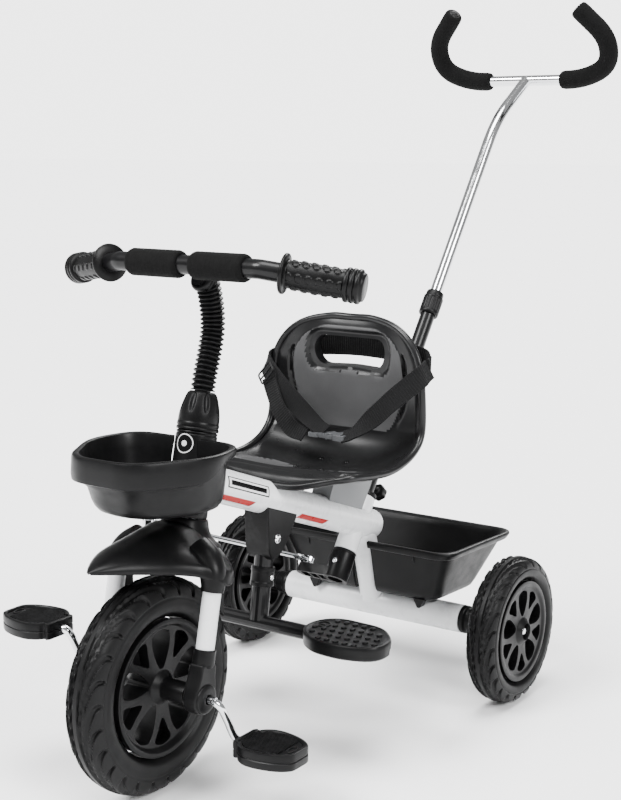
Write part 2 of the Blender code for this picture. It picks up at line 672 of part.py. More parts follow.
def fender(materials):
    """Mudguard: a shell round the front axle with a neck for the steerer and leg sleeves."""
    columns = 16
    thickness = 0.0022
    loops = []
    for degrees, half, crest, edge, neck in zip(FENDER_ANGLES, FENDER_HALF, FENDER_CREST,
                                                FENDER_EDGE, FENDER_NECK):
        angle = math.radians(degrees)
        out = Vector((0.0, -math.sin(angle), math.cos(angle)))
        skin = []
        lining = []
        for i in range(columns + 1):
            across = math.sin((2.0 * i / columns - 1.0) * math.pi / 2.0)
            height = edge + (crest - edge) * fender_height(across, neck)
            skin.append(FRONT_AXLE + half * across * X_AXIS + height * out)
            inner = min(height - 0.0026, height)
            lining.append(FRONT_AXLE + (half - thickness) * across * X_AXIS + inner * out)
        loops.append(skin + lining[::-1])
    bm = bmesh.new()
    loft(bm, loops)
    shell = place(bm, "fender", materials["plastic"], sharp=45.0)
    hole = cutter_rod("fender_hole", materials["plastic"], HEAD_BASE - 0.03 * HEAD_AXIS,
                      HEAD_BASE + 0.06 * HEAD_AXIS, STEERER_RADIUS + 0.0040)
    boolean(shell, hole)
    lever = block("steering_lever_front", materials["plastic"], (-0.0740, 0.0580, 0.2760),
                  (-0.0520, 0.0800, 0.2820))
    bevel_edges(lever, 0.0015, 1)


# ------------------------------------------------------------------ handlebar
def handlebar(materials):
    turned("lock_nut", materials["plastic"],
           [(STEERER_RADIUS + 0.0006, 0.1064), (0.0240, 0.1064), (0.0248, 0.1090),
            (0.0240, 0.1250), (0.0205, 0.1390), (0.0165, 0.1490), (0.0140, NUT_TOP),
            (STEERER_RADIUS + 0.0006, NUT_TOP)],
           HEAD_BASE, HEAD_AXIS, closed=True)
    stem_base = HEAD_BASE + 0.1456 * HEAD_AXIS
    stem_path = smooth_path([stem_base, stem_base + 0.0120 * HEAD_AXIS, (0.0, 0.1205, 0.5200),
                             (0.0, 0.1130, 0.5690), (0.0, 0.0950, 0.5800)], 3)
    swept("handlebar_stem", materials["steel"], stem_path, 0.0095, 12)
    bellows_path = [HEAD_BASE + (NUT_TOP + 0.0012) * HEAD_AXIS, *stem_path[3:-2]]
    swept("stem_bellows", materials["plastic"], bellows_path, 0.0145, 12, bore=0.0110)

    bar_end = Vector((0.2060, 0.1170, 0.5782))
    mirror = Vector((-1.0, 1.0, 1.0))
    half_bar = [HANDLEBAR, HANDLEBAR + 0.100 * X_AXIS, bar_end]
    keys = [p * mirror for p in reversed(half_bar[1:])] + half_bar
    swept("handlebar", materials["steel"], fillet(keys, 0.014, 3), 0.0110, 14)
    for side, label in ((1, "left"), (-1, "right")):
        swept(f"bar_foam_{label}", materials["foam"],
              [HANDLEBAR + side * 0.0090 * X_AXIS, HANDLEBAR + side * 0.0830 * X_AXIS],
              0.0158, 14, bore=0.0114)
        grip_start = Vector((side * 0.1240, 0.0862, 0.5914))
        direction = (Vector((side * bar_end.x, bar_end.y, bar_end.z)) - grip_start).normalized()
        bore = 0.0122
        profile = [(0.0, 0.0896), (bore, 0.0896), (bore, 0.0), (0.0225, 0.0),
                   (0.0225, 0.0045), (0.0152, 0.0070), (0.0160, 0.0400), (0.0150, 0.0680),
                   (0.0172, 0.0700), (0.0172, 0.0860), (0.0150, 0.0915), (0.0, 0.0925)]
        turned(f"grip_{label}", materials["grip"], profile, grip_start, direction, 16)


# ------------------------------------------------------------------ cranks and pedals
def crank_end(side):
    return FRONT_AXLE + side * CRANK_LENGTH * Vector((0.0, math.sin(CRANK_ANGLE),
                                                      -math.cos(CRANK_ANGLE)))


def cranks(materials):
    """One chromed rod through the hub, cranked down on the left and up on the right."""
    keys = []
    for side in (-1, 1):
        end = crank_end(side)
        half = [end + side * (PEDAL_OUTER_X - 0.008) * X_AXIS, end + side * 0.0985 * X_AXIS,
                FRONT_AXLE + side * 0.0925 * X_AXIS]
        keys += half if side < 0 else reversed(half)
    swept("pedal_crank", materials["chrome"], fillet(keys, 0.008, 3), CRANK_ROD_RADIUS, 10,
          origin=FRONT_AXLE)


def pedal(side, label, materials):
    """Leaf-shaped pedal, bored for the crank's end."""
    centre = crank_end(side)
    inner = side * PEDAL_INNER_X
    outer = side * PEDAL_OUTER_X
    plan = [(inner, -0.020), (inner + side * 0.018, -0.033), (outer - side * 0.020, -0.033),
            (outer, -0.017), (outer, 0.017), (outer - side * 0.020, 0.033),
            (inner + side * 0.018, 0.033), (inner, 0.020)]
    outline = fillet([Vector((x, centre.y + y, centre.z - 0.0100)) for x, y in plan],
                     0.010, 2, closed=True)
    body = slab(f"pedal_{label}", materials["plastic"], outline, 0.0200 * Z_AXIS, origin=centre)
    bore = cutter_rod(f"pedal_bore_{label}", materials["plastic"],
                      centre + side * 0.08 * X_AXIS,
                      centre + side * (PEDAL_OUTER_X - 0.006) * X_AXIS,
                      CRANK_ROD_RADIUS + 0.0007, 16)
    boolean(body, bore)


# ------------------------------------------------------------------ footrest
def footrest(materials):
    steel = materials["steel"]
    pivot = FOOTREST_PIVOT
    down = Vector((0.0, CROSS_TUBE.y - pivot.y, CROSS_TUBE.z - pivot.z)).normalized()
    rivet = [pivot - 0.0195 * X_AXIS, pivot + 0.0195 * X_AXIS]
    swept("footrest_rivet", materials["chrome"], rivet, 0.0032, 12)
    rivet_cut = cutter_rod("rivet_cutter", steel, rivet[0] - 0.01 * X_AXIS,
                           rivet[1] + 0.01 * X_AXIS, 0.0036, 16)
    boolean(bpy.data.objects["footrest_bracket"], rivet_cut)
    post = swept("footrest_post", steel, [pivot - 0.0125 * down, pivot + 0.1040 * down],
                 0.0120, 20, origin=pivot)
    boolean(post, rivet_cut)
    turned("footrest_sleeve", materials["plastic"],
           [(0.0124, 0.0), (0.0145, 0.0), (0.0150, 0.0040), (0.0150, 0.0200), (0.0145, 0.0240),
            (0.0124, 0.0240)],
           pivot + 0.0370 * down, down, 20, closed=True, origin=pivot)
    half = 0.0800
    cross = swept("footrest_cross_tube", steel, [CROSS_TUBE - half * X_AXIS,
                                                 CROSS_TUBE + half * X_AXIS],
                  0.0092, 16, origin=pivot)
    boolean(post, cross, "UNION")
    for side, label in ((1, "left"), (-1, "right")):
        plan = [(0.0805, 0.180), (0.0805, 0.235), (0.1200, 0.252), (0.1650, 0.236),
                (0.2010, 0.196), (0.1960, 0.160), (0.1500, 0.140), (0.1100, 0.148)]
        outline = fillet([Vector((side * x, y, FOOTPLATE_TOP - 0.0180)) for x, y in plan],
                         0.016, 2, closed=True)
        slab(f"footplate_{label}", materials["plastic"], outline, 0.0180 * Z_AXIS,
             origin=pivot)


# ------------------------------------------------------------------ push pole
def push_pole(materials):
    start = POLE_BASE - 0.0380 * POLE_AXIS
    swept("push_pole_lower", materials["steel"], [start, POLE_BASE + POLE_COLLAR_AT * POLE_AXIS],
          POLE_RADIUS, 20, bore=POLE_BORE, origin=POLE_BASE)
    bore = POLE_RADIUS + 0.0005
    housing = turned("steering_lever_rear", materials["plastic"],
                     [(bore, -0.0420), (0.0165, -0.0420), (0.0165, -0.0010), (bore, -0.0010)],
                     POLE_BASE, POLE_AXIS, closed=True)
    across, _ = side_vectors(POLE_AXIS)
    rearward = POLE_AXIS.cross(across)
    base = POLE_BASE - (REAR_LEVER_DROP + 0.0140) * POLE_AXIS
    plan = [(-0.0120, 0.0130), (-REAR_LEVER_ARM - 0.004, 0.0105),
            (-REAR_LEVER_ARM - 0.011, 0.0), (-REAR_LEVER_ARM - 0.004, -0.0105),
            (-0.0120, -0.0130)]
    outline = [base + a * across + b * rearward for a, b in plan]
    arm = slab("lever_arm_tool", materials["plastic"], outline, 0.0120 * POLE_AXIS)
    boolean(housing, arm, "UNION")
    bore_cut = cutter_rod("lever_bore_tool", materials["plastic"], POLE_BASE - 0.06 * POLE_AXIS,
                          POLE_BASE + 0.01 * POLE_AXIS, bore)
    boolean(housing, bore_cut)
    ball = base + 0.0100 * POLE_AXIS - REAR_LEVER_ARM * across
    stud = turned("ball_stud", materials["chrome"],
                  [(0.0, 0.0), (0.0045, 0.0), (0.0045, 0.0050), (0.0026, 0.0054),
                   (0.0026, 0.0130), (0.0, 0.0132)],
                  ball, POLE_AXIS, 12)
    boolean(housing, stud, "UNION")

    turned("socket_ring", materials["plastic"],
           [(POLE_RADIUS + 0.0010, SOCKET_LENGTH + GAP), (0.0160, SOCKET_LENGTH + GAP),
            (0.0160, SOCKET_LENGTH + 0.0060), (POLE_RADIUS + 0.0010, SOCKET_LENGTH + 0.0060)],
           POLE_BASE, POLE_AXIS, closed=True)
    knob_base = POLE_BASE + 0.1010 * POLE_AXIS + 0.0111 * rearward
    turned("pole_knob", materials["plastic"],
           [(0.0, 0.0), (0.0050, 0.0), (0.0050, 0.0110), (0.0085, 0.0130), (0.0115, 0.0200),
            (0.0095, 0.0260), (0.0, 0.0275)],
           knob_base, rearward, 16)
    collar_base = POLE_BASE + POLE_COLLAR_AT * POLE_AXIS
    turned("pole_collar", materials["plastic"],
           [(POLE_RADIUS + 0.0005, -0.0280), (0.0135, -0.0280), (0.0142, -0.0220),
            (0.0135, 0.0040), (0.0110, 0.0090), (UPPER_RADIUS + 0.0006, 0.0090),
            (UPPER_RADIUS + 0.0006, GAP), (POLE_RADIUS + 0.0005, GAP)],
           collar_base, POLE_AXIS, 16, closed=True)

    inside = POLE_BASE + (POLE_COLLAR_AT - 0.0600) * POLE_AXIS
    path = fillet([inside, POLE_BEND, POLE_TOP - 0.0094 * (POLE_TOP - POLE_BEND).normalized()],
                  0.045, 8)
    swept("push_pole_upper", materials["chrome"], path, UPPER_RADIUS, 16, origin=POLE_TOP)


def push_handle(materials):
    """Crossbar bent up at both ends like a pair of horns, with foam over each horn."""
    up = Vector((0.0, -0.407, 0.913))
    half = [POLE_TOP, POLE_TOP + 0.0950 * X_AXIS,
            POLE_TOP + 0.1410 * X_AXIS + 0.020 * up,
            POLE_TOP + 0.1450 * X_AXIS + 0.064 * up,
            POLE_TOP + 0.1030 * X_AXIS + 0.112 * up]
    right = fillet(half[1:], 0.030, 3)
    mirror = Vector((-1.0, 1.0, 1.0))
    whole = [p * mirror for p in reversed(right)] + [POLE_TOP] + right
    swept("push_crossbar", materials["chrome"], whole, 0.0080, 10, origin=POLE_TOP)
    for side, label in ((1, "left"), (-1, "right")):
        path = [POLE_TOP + 0.0600 * X_AXIS] + right
        path[-1] = path[-1] + 0.002 * (path[-1] - path[-2]).normalized()
        path = [Vector((side * p.x, p.y, p.z)) for p in path]
        swept(f"push_foam_{label}", materials["foam"], path, 0.0140, 12, bore=0.0086,
              origin=POLE_TOP)
    pole_cut = swept("crossbar_pole_cutter", materials["chrome"],
                     [POLE_TOP - 0.06 * X_AXIS, POLE_TOP + 0.06 * X_AXIS], 0.0080 + GAP, 16)
    boolean(bpy.data.objects["push_pole_upper"], pole_cut)


def steering_rod(materials):
    across, _ = side_vectors(POLE_AXIS)
    base = POLE_BASE - (REAR_LEVER_DROP + 0.0140) * POLE_AXIS
    rear = base + 0.0200 * POLE_AXIS - REAR_LEVER_ARM * across
    front = FRONT_LEVER
    along = (front - rear).normalized()
    rod = swept("steering_rod", materials["chrome"],
                [rear + 0.0050 * along, front - 0.0050 * along], 0.0030, 12, origin=rear)
    eye = [(0.0034, -0.0032), (0.0066, -0.0032), (0.0066, 0.0028), (0.0034, 0.0028)]
    for name, centre, axis in (("rod_eye_rear", rear, POLE_AXIS), ("rod_eye_front", front, Z_AXIS)):
        boolean(rod, turned(name, materials["chrome"], eye, centre, axis, 16, closed=True),
                "UNION")


# ------------------------------------------------------------------ build
def main():
    for obj in list(bpy.data.objects):
        bpy.data.objects.remove(obj, do_unlink=True)
    materials = make_materials()
    frame(materials)
    front_wheel(materials)
    for side, label in ((1, "left"), (-1, "right")):
        rear_wheel(side, label, materials)
        pedal(side, label, materials)
    head(materials)
    front_basket(materials)
    rear_basket(materials)
    seat(materials)
    belt(materials)
    fork(materials)
    fender(materials)
    handlebar(materials)
    cranks(materials)
    footrest(materials)
    push_pole(materials)
    push_handle(materials)
    steering_rod(materials)


main()
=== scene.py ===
"""Looks of the children's tricycle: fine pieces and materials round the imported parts.

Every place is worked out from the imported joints. The design counts Y from the front
axle, and at() turns such a point into the frame's own coordinates.
"""

import json
import math

import bmesh
import bpy
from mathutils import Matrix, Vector


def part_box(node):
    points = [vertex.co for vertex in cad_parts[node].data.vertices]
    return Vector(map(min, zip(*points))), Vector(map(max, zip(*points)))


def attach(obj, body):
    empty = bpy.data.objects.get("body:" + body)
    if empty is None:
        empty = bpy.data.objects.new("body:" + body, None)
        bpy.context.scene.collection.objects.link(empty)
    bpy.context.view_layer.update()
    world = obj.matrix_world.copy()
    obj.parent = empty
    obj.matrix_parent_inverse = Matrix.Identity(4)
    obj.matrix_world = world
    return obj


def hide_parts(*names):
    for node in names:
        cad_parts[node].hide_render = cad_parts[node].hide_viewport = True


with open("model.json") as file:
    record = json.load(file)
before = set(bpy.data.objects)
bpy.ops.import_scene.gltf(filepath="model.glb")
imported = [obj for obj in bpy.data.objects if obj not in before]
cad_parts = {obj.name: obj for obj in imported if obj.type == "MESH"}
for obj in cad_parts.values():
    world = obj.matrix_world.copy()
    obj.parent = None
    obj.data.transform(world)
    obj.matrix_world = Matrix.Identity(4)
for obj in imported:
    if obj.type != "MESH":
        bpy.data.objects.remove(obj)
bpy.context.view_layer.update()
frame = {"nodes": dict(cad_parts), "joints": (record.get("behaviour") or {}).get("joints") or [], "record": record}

# ------------------------------------------------------------------ places from the frame
JOINTS = {joint["name"]: joint for joint in frame["joints"]}


def joint_at(name):
    return Vector(JOINTS[name]["pos_m"])


def joint_axis(name):
    return Vector(JOINTS[name]["axis"]).normalized()


def middle(node):
    low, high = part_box(node)
    return (Vector(low) + Vector(high)) / 2


X = Vector((1.0, 0.0, 0.0))
Y = Vector((0.0, 1.0, 0.0))
Z = Vector((0.0, 0.0, 1.0))
AXLE = joint_at("front_wheel_spin")
REAR = joint_at("rear_wheel_left_spin")
HEAD = joint_at("steer")
HEAD_AXIS = joint_axis("steer")
POLE = joint_at("pole_turn")
POLE_AXIS = joint_axis("pole_turn")
PIVOT = joint_at("footrest_fold")
HALF_TRACK = middle("rear_tyre_left").x
SIDES = ((1, "left"), (-1, "right"))


def at(x, y, z):
    """A point with Y counted from the front axle."""
    return Vector((x, AXLE.y + y, z))


# ------------------------------------------------------------------ materials
class Nodes:
    """A few node helpers round one material's tree."""

    def __init__(self, name):
        self.material = bpy.data.materials.new(name)
        self.material.use_nodes = True
        self.tree = self.material.node_tree
        self.shader = self.tree.nodes["Principled BSDF"]
        self.place = self.tree.nodes.new("ShaderNodeTexCoord").outputs["Object"]

    def add(self, kind, **settings):
        node = self.tree.nodes.new(kind)
        for key, value in settings.items():
            if key in node.inputs:
                node.inputs[key].default_value = value
            else:
                setattr(node, key, value)
        return node

    def link(self, start, end):
        self.tree.links.new(start, end)

    def noise(self, scale, detail=3.0):
        node = self.add("ShaderNodeTexNoise", Scale=scale, Detail=detail)
        self.link(self.place, node.inputs["Vector"])
        return node.outputs["Fac"]

    def mapped(self, value, low, high, from_low=0.3, from_high=0.7):
        node = self.add("ShaderNodeMapRange")
        for key, number in (("From Min", from_low), ("From Max", from_high),
                            ("To Min", low), ("To Max", high)):
            node.inputs[key].default_value = number
        self.link(value, node.inputs["Value"])
        return node.outputs["Result"]

    def mix(self, factor, first, second):
        """Mix of two colours, either of which may be another node's output."""
        node = self.add("ShaderNodeMix", data_type="RGBA")
        self.link(factor, node.inputs[0])
        for socket, colour in ((node.inputs[6], first), (node.inputs[7], second)):
            if isinstance(colour, tuple):
                socket.default_value = (*colour, 1.0)
            else:
                self.link(colour, socket)
        return node.outputs[2]

    def bump(self, height, distance, strength=1.0, under=None):
        node = self.add("ShaderNodeBump", Distance=distance, Strength=strength)
        self.link(height, node.inputs["Height"])
        if under:
            self.link(under, node.inputs["Normal"])
        return node.outputs["Normal"]


def surface(name, dark, light, rough, grain, depth, metallic=0.0, wear=None, coat=0.0,
            spread=0.07, patch=22.0, specular=0.13):
    """Moulded, painted or plated surface: mottled colour, uneven gloss, fine grain, worn edges."""
    nodes = Nodes(name)
    broad = nodes.noise(patch, 4.0)
    colour = nodes.mix(nodes.mapped(broad, 0.0, 1.0), dark, light)
    if wear:
        edge = nodes.add("ShaderNodeNewGeometry").outputs["Pointiness"]
        scuff = nodes.add("ShaderNodeMath", operation="MULTIPLY")
        nodes.link(nodes.mapped(edge, 0.0, 0.30, 0.56, 0.70), scuff.inputs[0])
        nodes.link(nodes.mapped(nodes.noise(140.0), 0.0, 1.0, 0.42, 0.62), scuff.inputs[1])
        colour = nodes.mix(scuff.outputs[0], colour, wear)
    nodes.link(colour, nodes.shader.inputs["Base Color"])
    nodes.link(nodes.mapped(nodes.noise(patch * 3.0, 5.0), rough - spread, rough + spread),
           nodes.shader.inputs["Roughness"])
    nodes.link(nodes.bump(nodes.noise(grain, 2.0), depth), nodes.shader.inputs["Normal"])
    nodes.shader.inputs["Metallic"].default_value = metallic
    nodes.shader.inputs["Coat Weight"].default_value = coat
    nodes.shader.inputs["Specular IOR Level"].default_value = specular
    return nodes.material


def weave(name, dark, light, pitch, depth):
    """Woven webbing: fine threads over the ribs that the mesh has."""
    nodes = Nodes(name)
    waves = []
    for direction in ("X", "Z"):
        wave = nodes.add("ShaderNodeTexWave", Scale=1.0 / pitch, bands_direction=direction)
        nodes.link(nodes.place, wave.inputs["Vector"])
        waves.append(wave.outputs["Fac"])
    threads = nodes.add("ShaderNodeMath", operation="MULTIPLY")
    nodes.link(waves[0], threads.inputs[0])
    nodes.link(waves[1], threads.inputs[1])
    nodes.link(nodes.mix(threads.outputs[0], dark, light), nodes.shader.inputs["Base Color"])
    nodes.link(nodes.mapped(nodes.noise(900.0), 0.74, 0.92), nodes.shader.inputs["Roughness"])
    nodes.link(nodes.bump(threads.outputs[0], depth), nodes.shader.inputs["Normal"])
    nodes.shader.inputs["Specular IOR Level"].default_value = 0.12
    nodes.shader.inputs["Sheen Weight"].default_value = 0.04
    return nodes.material


BLACK = (0.0030, 0.0030, 0.0032)
SOOT = (0.0044, 0.0044, 0.0046)
SCUFF = (0.020, 0.020, 0.021)
LOOKS = {
    "frame_paint": surface("frame_paint_look", (0.74, 0.75, 0.76), (0.76, 0.77, 0.78), 0.28,
                           900.0, 0.00001, coat=0.25, spread=0.02, wear=(0.72, 0.72, 0.73),
                           specular=0.5),
    # light grey paint given a darker grey: painted shade for the shadow under the seat
    "gusset_paint": surface("gusset_paint_and_painted_shade_look", (0.195, 0.20, 0.205), (0.205, 0.21, 0.215), 0.48, 700.0,
                            0.00005, wear=(0.55, 0.55, 0.56)),
    "black_steel": surface("black_steel_look", BLACK, (0.0040, 0.0040, 0.0044), 0.36, 1100.0,
                           0.00001, coat=0.16, spread=0.02),
    "chrome": surface("chrome_look", (0.72, 0.73, 0.75), (0.80, 0.81, 0.82), 0.12, 500.0,
                      0.00001, metallic=1.0, spread=0.04, specular=0.5),
    "black_plastic": surface("black_plastic_look", BLACK, SOOT, 0.36, 1500.0, 0.00005,
                             wear=SCUFF),
    "seat_plastic": surface("seat_look", (0.0050, 0.0050, 0.0053), (0.0066, 0.0066, 0.0070),
                            0.30, 1300.0, 0.00001, spread=0.03, specular=0.26),
    "tyre": surface("tyre_look", (0.0030, 0.0030, 0.0031), (0.0044, 0.0044, 0.0046), 0.42,
                    1200.0, 0.00007, wear=(0.022, 0.022, 0.022)),
    "webbing": weave("webbing_look", (0.0026, 0.0026, 0.0028), (0.0085, 0.0085, 0.0090), 0.0011,
                     0.00012),
    "buckle": surface("buckle_look", (0.050, 0.052, 0.056), (0.075, 0.078, 0.082), 0.22, 800.0,
                      0.00002, wear=(0.24, 0.24, 0.25), specular=0.5),
    "foam": surface("foam_look", (0.0028, 0.0028, 0.0028), (0.0042, 0.0042, 0.0042), 0.92,
                    2100.0, 0.00020, spread=0.04, patch=160.0, specular=0.10),
    "grip": surface("grip_look", (0.0026, 0.0026, 0.0026), (0.0038, 0.0038, 0.0040), 0.34,
                    1600.0, 0.00005, wear=SCUFF),
    "grain": surface("grained_look", (0.0520, 0.0520, 0.0532), (0.0620, 0.0620, 0.0634), 0.50,
                     1900.0, 0.00022, spread=0.04),
    "red": surface("stripe_look", (0.30, 0.004, 0.004), (0.34, 0.006, 0.006), 0.30, 700.0,
                   0.00001, wear=(0.40, 0.030, 0.028), specular=0.3),
    "white": surface("badge_look", (0.74, 0.74, 0.75), (0.80, 0.80, 0.81), 0.34, 700.0, 0.00002),
    "label": surface("label_look", (0.0040, 0.0040, 0.0042), (0.0055, 0.0055, 0.0058), 0.24,
                     700.0, 0.00002),
}


# ------------------------------------------------------------------ mesh tools
def mesh_of(bm, name):
    mesh = bpy.data.meshes.new(name)
    bm.to_mesh(mesh)
    bm.free()
    return mesh


def add_object(name, data):
    item = bpy.data.objects.new(name, data)
    bpy.context.collection.objects.link(item)
    return item


def publish(bm, name, body, slot, look=None, replaces=(), sharp=38.0):
    """Turn a bmesh in the frame's coordinates into a piece that rides on a body."""
    bmesh.ops.recalc_face_normals(bm, faces=bm.faces)
    mesh = mesh_of(bm, name)
    mesh.materials.append(LOOKS[look or slot])
    mesh.shade_smooth()
    mesh.set_sharp_from_angle(angle=math.radians(sharp))
    piece = add_object(name, mesh)
    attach(piece, body)
    if replaces:
        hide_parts(*replaces)
    return piece


def soften(piece, width, segments=2):
    modifier = piece.modifiers.new("edge_round", "BEVEL")
    modifier.width = width
    modifier.segments = segments
    modifier.limit_method = "ANGLE"
    modifier.angle_limit = math.radians(38.0)
    modifier.harden_normals = True


def bare(bm, name):
    """An object that only shapes another one."""
    bmesh.ops.recalc_face_normals(bm, faces=bm.faces)
    return add_object(name, mesh_of(bm, name))


def carve(piece, tools, sharp=38.0):
    """Cut a piece with tools and keep only the result."""
    for tool in tools:
        modifier = piece.modifiers.new(tool.name, "BOOLEAN")
        modifier.operation = "DIFFERENCE"
        modifier.object = tool
    graph = bpy.context.evaluated_depsgraph_get()
    mesh = bpy.data.meshes.new_from_object(piece.evaluated_get(graph))
    piece.modifiers.clear()
    piece.data = mesh
    mesh.shade_smooth()
    mesh.set_sharp_from_angle(angle=math.radians(sharp))
    for tool in tools:
        bpy.data.objects.remove(tool, do_unlink=True)


def thicken(piece, amount):
    """Give a flat sticker a thickness."""
    modifier = piece.modifiers.new("thickness", "SOLIDIFY")
    modifier.thickness = amount


def square_to(axis, vector):
    """A vector turned square to an axis, at unit length."""
    return (vector - axis * vector.dot(axis)).normalized()


def circle(count):
    """Angles at even steps round a circle."""
    return [2.0 * math.pi * i / count for i in range(count)]


def six_flats(angle, radius, flat):
    """Radius of a hexagon's side, where that lies inside the round."""
    turn = (angle % (math.pi / 3.0)) - math.pi / 6.0
    return min(radius, flat / math.cos(turn))


def side_vectors(direction):
    """Two vectors square to a direction and to each other."""
    direction = direction.normalized()
    first = square_to(direction, X if abs(direction.x) < 0.5 else Y)
    return first, direction.cross(first)


def join_rings(bm, lower, upper):
    count = max(len(lower), len(upper))
    for i in range(count):
        j = (i + 1) % count
        if len(lower) == 1:
            bm.faces.new((lower[0], upper[j], upper[i]))
        elif len(upper) == 1:
            bm.faces.new((lower[i], lower[j], upper[0]))
        else:
            bm.faces.new((lower[i], lower[j], upper[j], upper[i]))


def loft(bm, loops, closed=False):
    """Skin a list of point loops, and close the ends unless the loft meets itself."""
    rings = [[bm.verts.new(point) for point in loop] for loop in loops]
    for lower, upper in zip(rings, rings[1:]):
        join_rings(bm, lower, upper)
    if closed:
        join_rings(bm, rings[-1], rings[0])
        return bm
    for ring in (rings[0], rings[-1]):
        if len(ring) > 2:
            bm.faces.new(ring)
    return bm


def lathe(profile, base, direction, segments=48, closed=False, shape=None):
    """Turn (radius, height) points about an axis; shape(angle, radius, height) may dent it."""
    direction = direction.normalized()
    first, second = side_vectors(direction)
    loops = []
    for radius, height in profile:
        centre = base + height * direction
        if radius == 0.0:
            loops.append([centre])
            continue
        loop = []
        for i in range(segments):
            angle = 2.0 * math.pi * (i + 0.5) / segments
            size = shape(angle, radius, height) if shape else radius
            loop.append(centre + size * (math.cos(angle) * first + math.sin(angle) * second))
        loops.append(loop)
    return loft(bmesh.new(), loops, closed)


def fillet(points, radius, steps=4, closed=False):
    """Round the corners of a line of points with short parabolic arcs."""
    points = [Vector(point) for point in points]
    count = len(points)
    result = []
    for i, corner in enumerate(points):
        if not closed and i in (0, count - 1):
            result.append(corner)
            continue
        back = points[i - 1] - corner
        ahead = points[(i + 1) % count] - corner
        start = corner + back.normalized() * min(radius, 0.48 * back.length)
        end = corner + ahead.normalized() * min(radius, 0.48 * ahead.length)
        for step in range(steps + 1):
            t = step / steps
            result.append(start * (1 - t) ** 2 + corner * 2 * t * (1 - t) + end * t ** 2)
    return result


def rounded(profile, radius, steps=3, closed=False):
    """A profile of (radius, height) points with its corners rounded."""
    line = fillet([Vector((r, h, 0.0)) for r, h in profile], radius, steps, closed)
    return [(max(point.x, 0.0), point.y) for point in line]


def smooth_path(keys, per_span):
    """Catmull-Rom curve through the key points."""
    keys = [Vector(key) for key in keys]
    padded = [keys[0] * 2 - keys[1], *keys, keys[-1] * 2 - keys[-2]]
    result = []
    for i in range(1, len(padded) - 2):
        before, start, end, after = padded[i - 1:i + 3]
        for step in range(per_span):
            t = step / per_span
            result.append(0.5 * (2 * start + (end - before) * t
                                 + (2 * before - 5 * start + 4 * end - after) * t ** 2
                                 + (3 * start - before - 3 * end + after) * t ** 3))
    result.append(keys[-1])
    return result


def even_path(path, step):
    """The same path with points an even distance apart."""
    result = [path[0]]
    left = step
    for start, end in zip(path, path[1:]):
        length = (end - start).length
        while length > 0.0 and left <= length:
            start = start + (end - start) * (left / length)
            result.append(start.copy())
            length = (end - start).length
            left = step
        left -= length
    if (result[-1] - path[-1]).length > 0.3 * step:
        result.append(path[-1])
    return result


def tangents(path):
    return [(path[min(i + 1, len(path) - 1)] - path[max(i - 1, 0)]).normalized()
            for i in range(len(path))]


def sweep(path, radius, segments=32, bore=0.0, bm=None):
    """A rod along a path, or a tube when it has a bore; radius may be a function of the step."""
    directions = tangents(path)
    first, _ = side_vectors(directions[0])
    outer = []
    inner = []
    for step, (centre, direction) in enumerate(zip(path, directions)):
        first = square_to(direction, first)
        second = direction.cross(first)
        size = radius(step) if callable(radius) else radius
        ways = []
        for i in range(segments):
            angle = 2.0 * math.pi * (i + 0.5) / segments
            ways.append(math.cos(angle) * first + math.sin(angle) * second)
        outer.append([centre + size * way for way in ways])
        inner.append([centre + bore * way for way in ways])
    if bore:
        return loft(bm or bmesh.new(), outer + inner[::-1], closed=True)
    return loft(bm or bmesh.new(), outer)


def turned(name, body, slot, profile, base, direction, segments, radius=0.0, steps=3,
           closed=True, replaces=(), shape=None, sharp=38.0):
    """Publish a turned piece; the corners of its profile are rounded if a radius is given."""
    if radius:
        profile = rounded(profile, radius, steps, closed)
    return publish(lathe(profile, base, direction, segments, closed, shape), name, body, slot,
                   replaces=replaces, sharp=sharp)


def drill(name, line, radius, segments=72):
    """Round cutter along a line."""
    return bare(sweep(line, radius, segments), name)


def slab(outline, depth, bm=None):
    """Push a flat outline along a vector."""
    return loft(bm or bmesh.new(), [outline, [point + depth for point in outline]])


def box(low, high):
    outline = [Vector((low[0], low[1], low[2])), Vector((high[0], low[1], low[2])),
               Vector((high[0], high[1], low[2])), Vector((low[0], high[1], low[2]))]
    return slab(outline, Vector((0.0, 0.0, high[2] - low[2])))


def ramp(value, low, high):
    """0 below low, 1 above high, and a smooth step between."""
    t = min(max((value - low) / (high - low), 0.0), 1.0)
    return t * t * (3.0 - 2.0 * t)


def screw_head(name, centre, direction, body, radius, look="chrome"):
    """Domed pan head with a cross slot."""
    profile = rounded([(0.0, -0.0010), (radius, -0.0010), (radius, 0.0008),
                       (0.55 * radius, 0.0022), (0.0, 0.0024)], 0.0006)
    piece = publish(lathe(profile, centre, direction, 28), name, body, "chrome", look)
    first, second = side_vectors(direction)
    tools = []
    for way, other in ((first, second), (second, first)):
        half = 0.62 * radius
        outline = [centre + 0.0012 * direction + a * half * way + b * 0.0005 * other
                   for a, b in ((-1, -1), (1, -1), (1, 1), (-1, 1))]
        tools.append(bare(slab(outline, 0.004 * direction), f"{name}_slot"))
    carve(piece, tools)
    return piece


# ------------------------------------------------------------------ camera, floor and light
CAMERA_PLACE = at(1.0456, -1.1982, 0.7331)
CAMERA_WAY = (34.567, 10.0724)
CAMERA_LENS = 65.905
FILL = 0.40                     # light from the surroundings
BACKDROP = 3.9                  # brightness of the surroundings as the camera sees them
# name, azimuth from the front towards the child's left, elevation, strength, angle across
SUNS = (("key", -28.0, 48.0, 5.4, 26.0), ("side", 78.0, 34.0, 3.2, 24.0),
        ("top", 20.0, 84.0, 4.4, 34.0), ("rear", 190.0, 38.0, 2.4, 24.0))


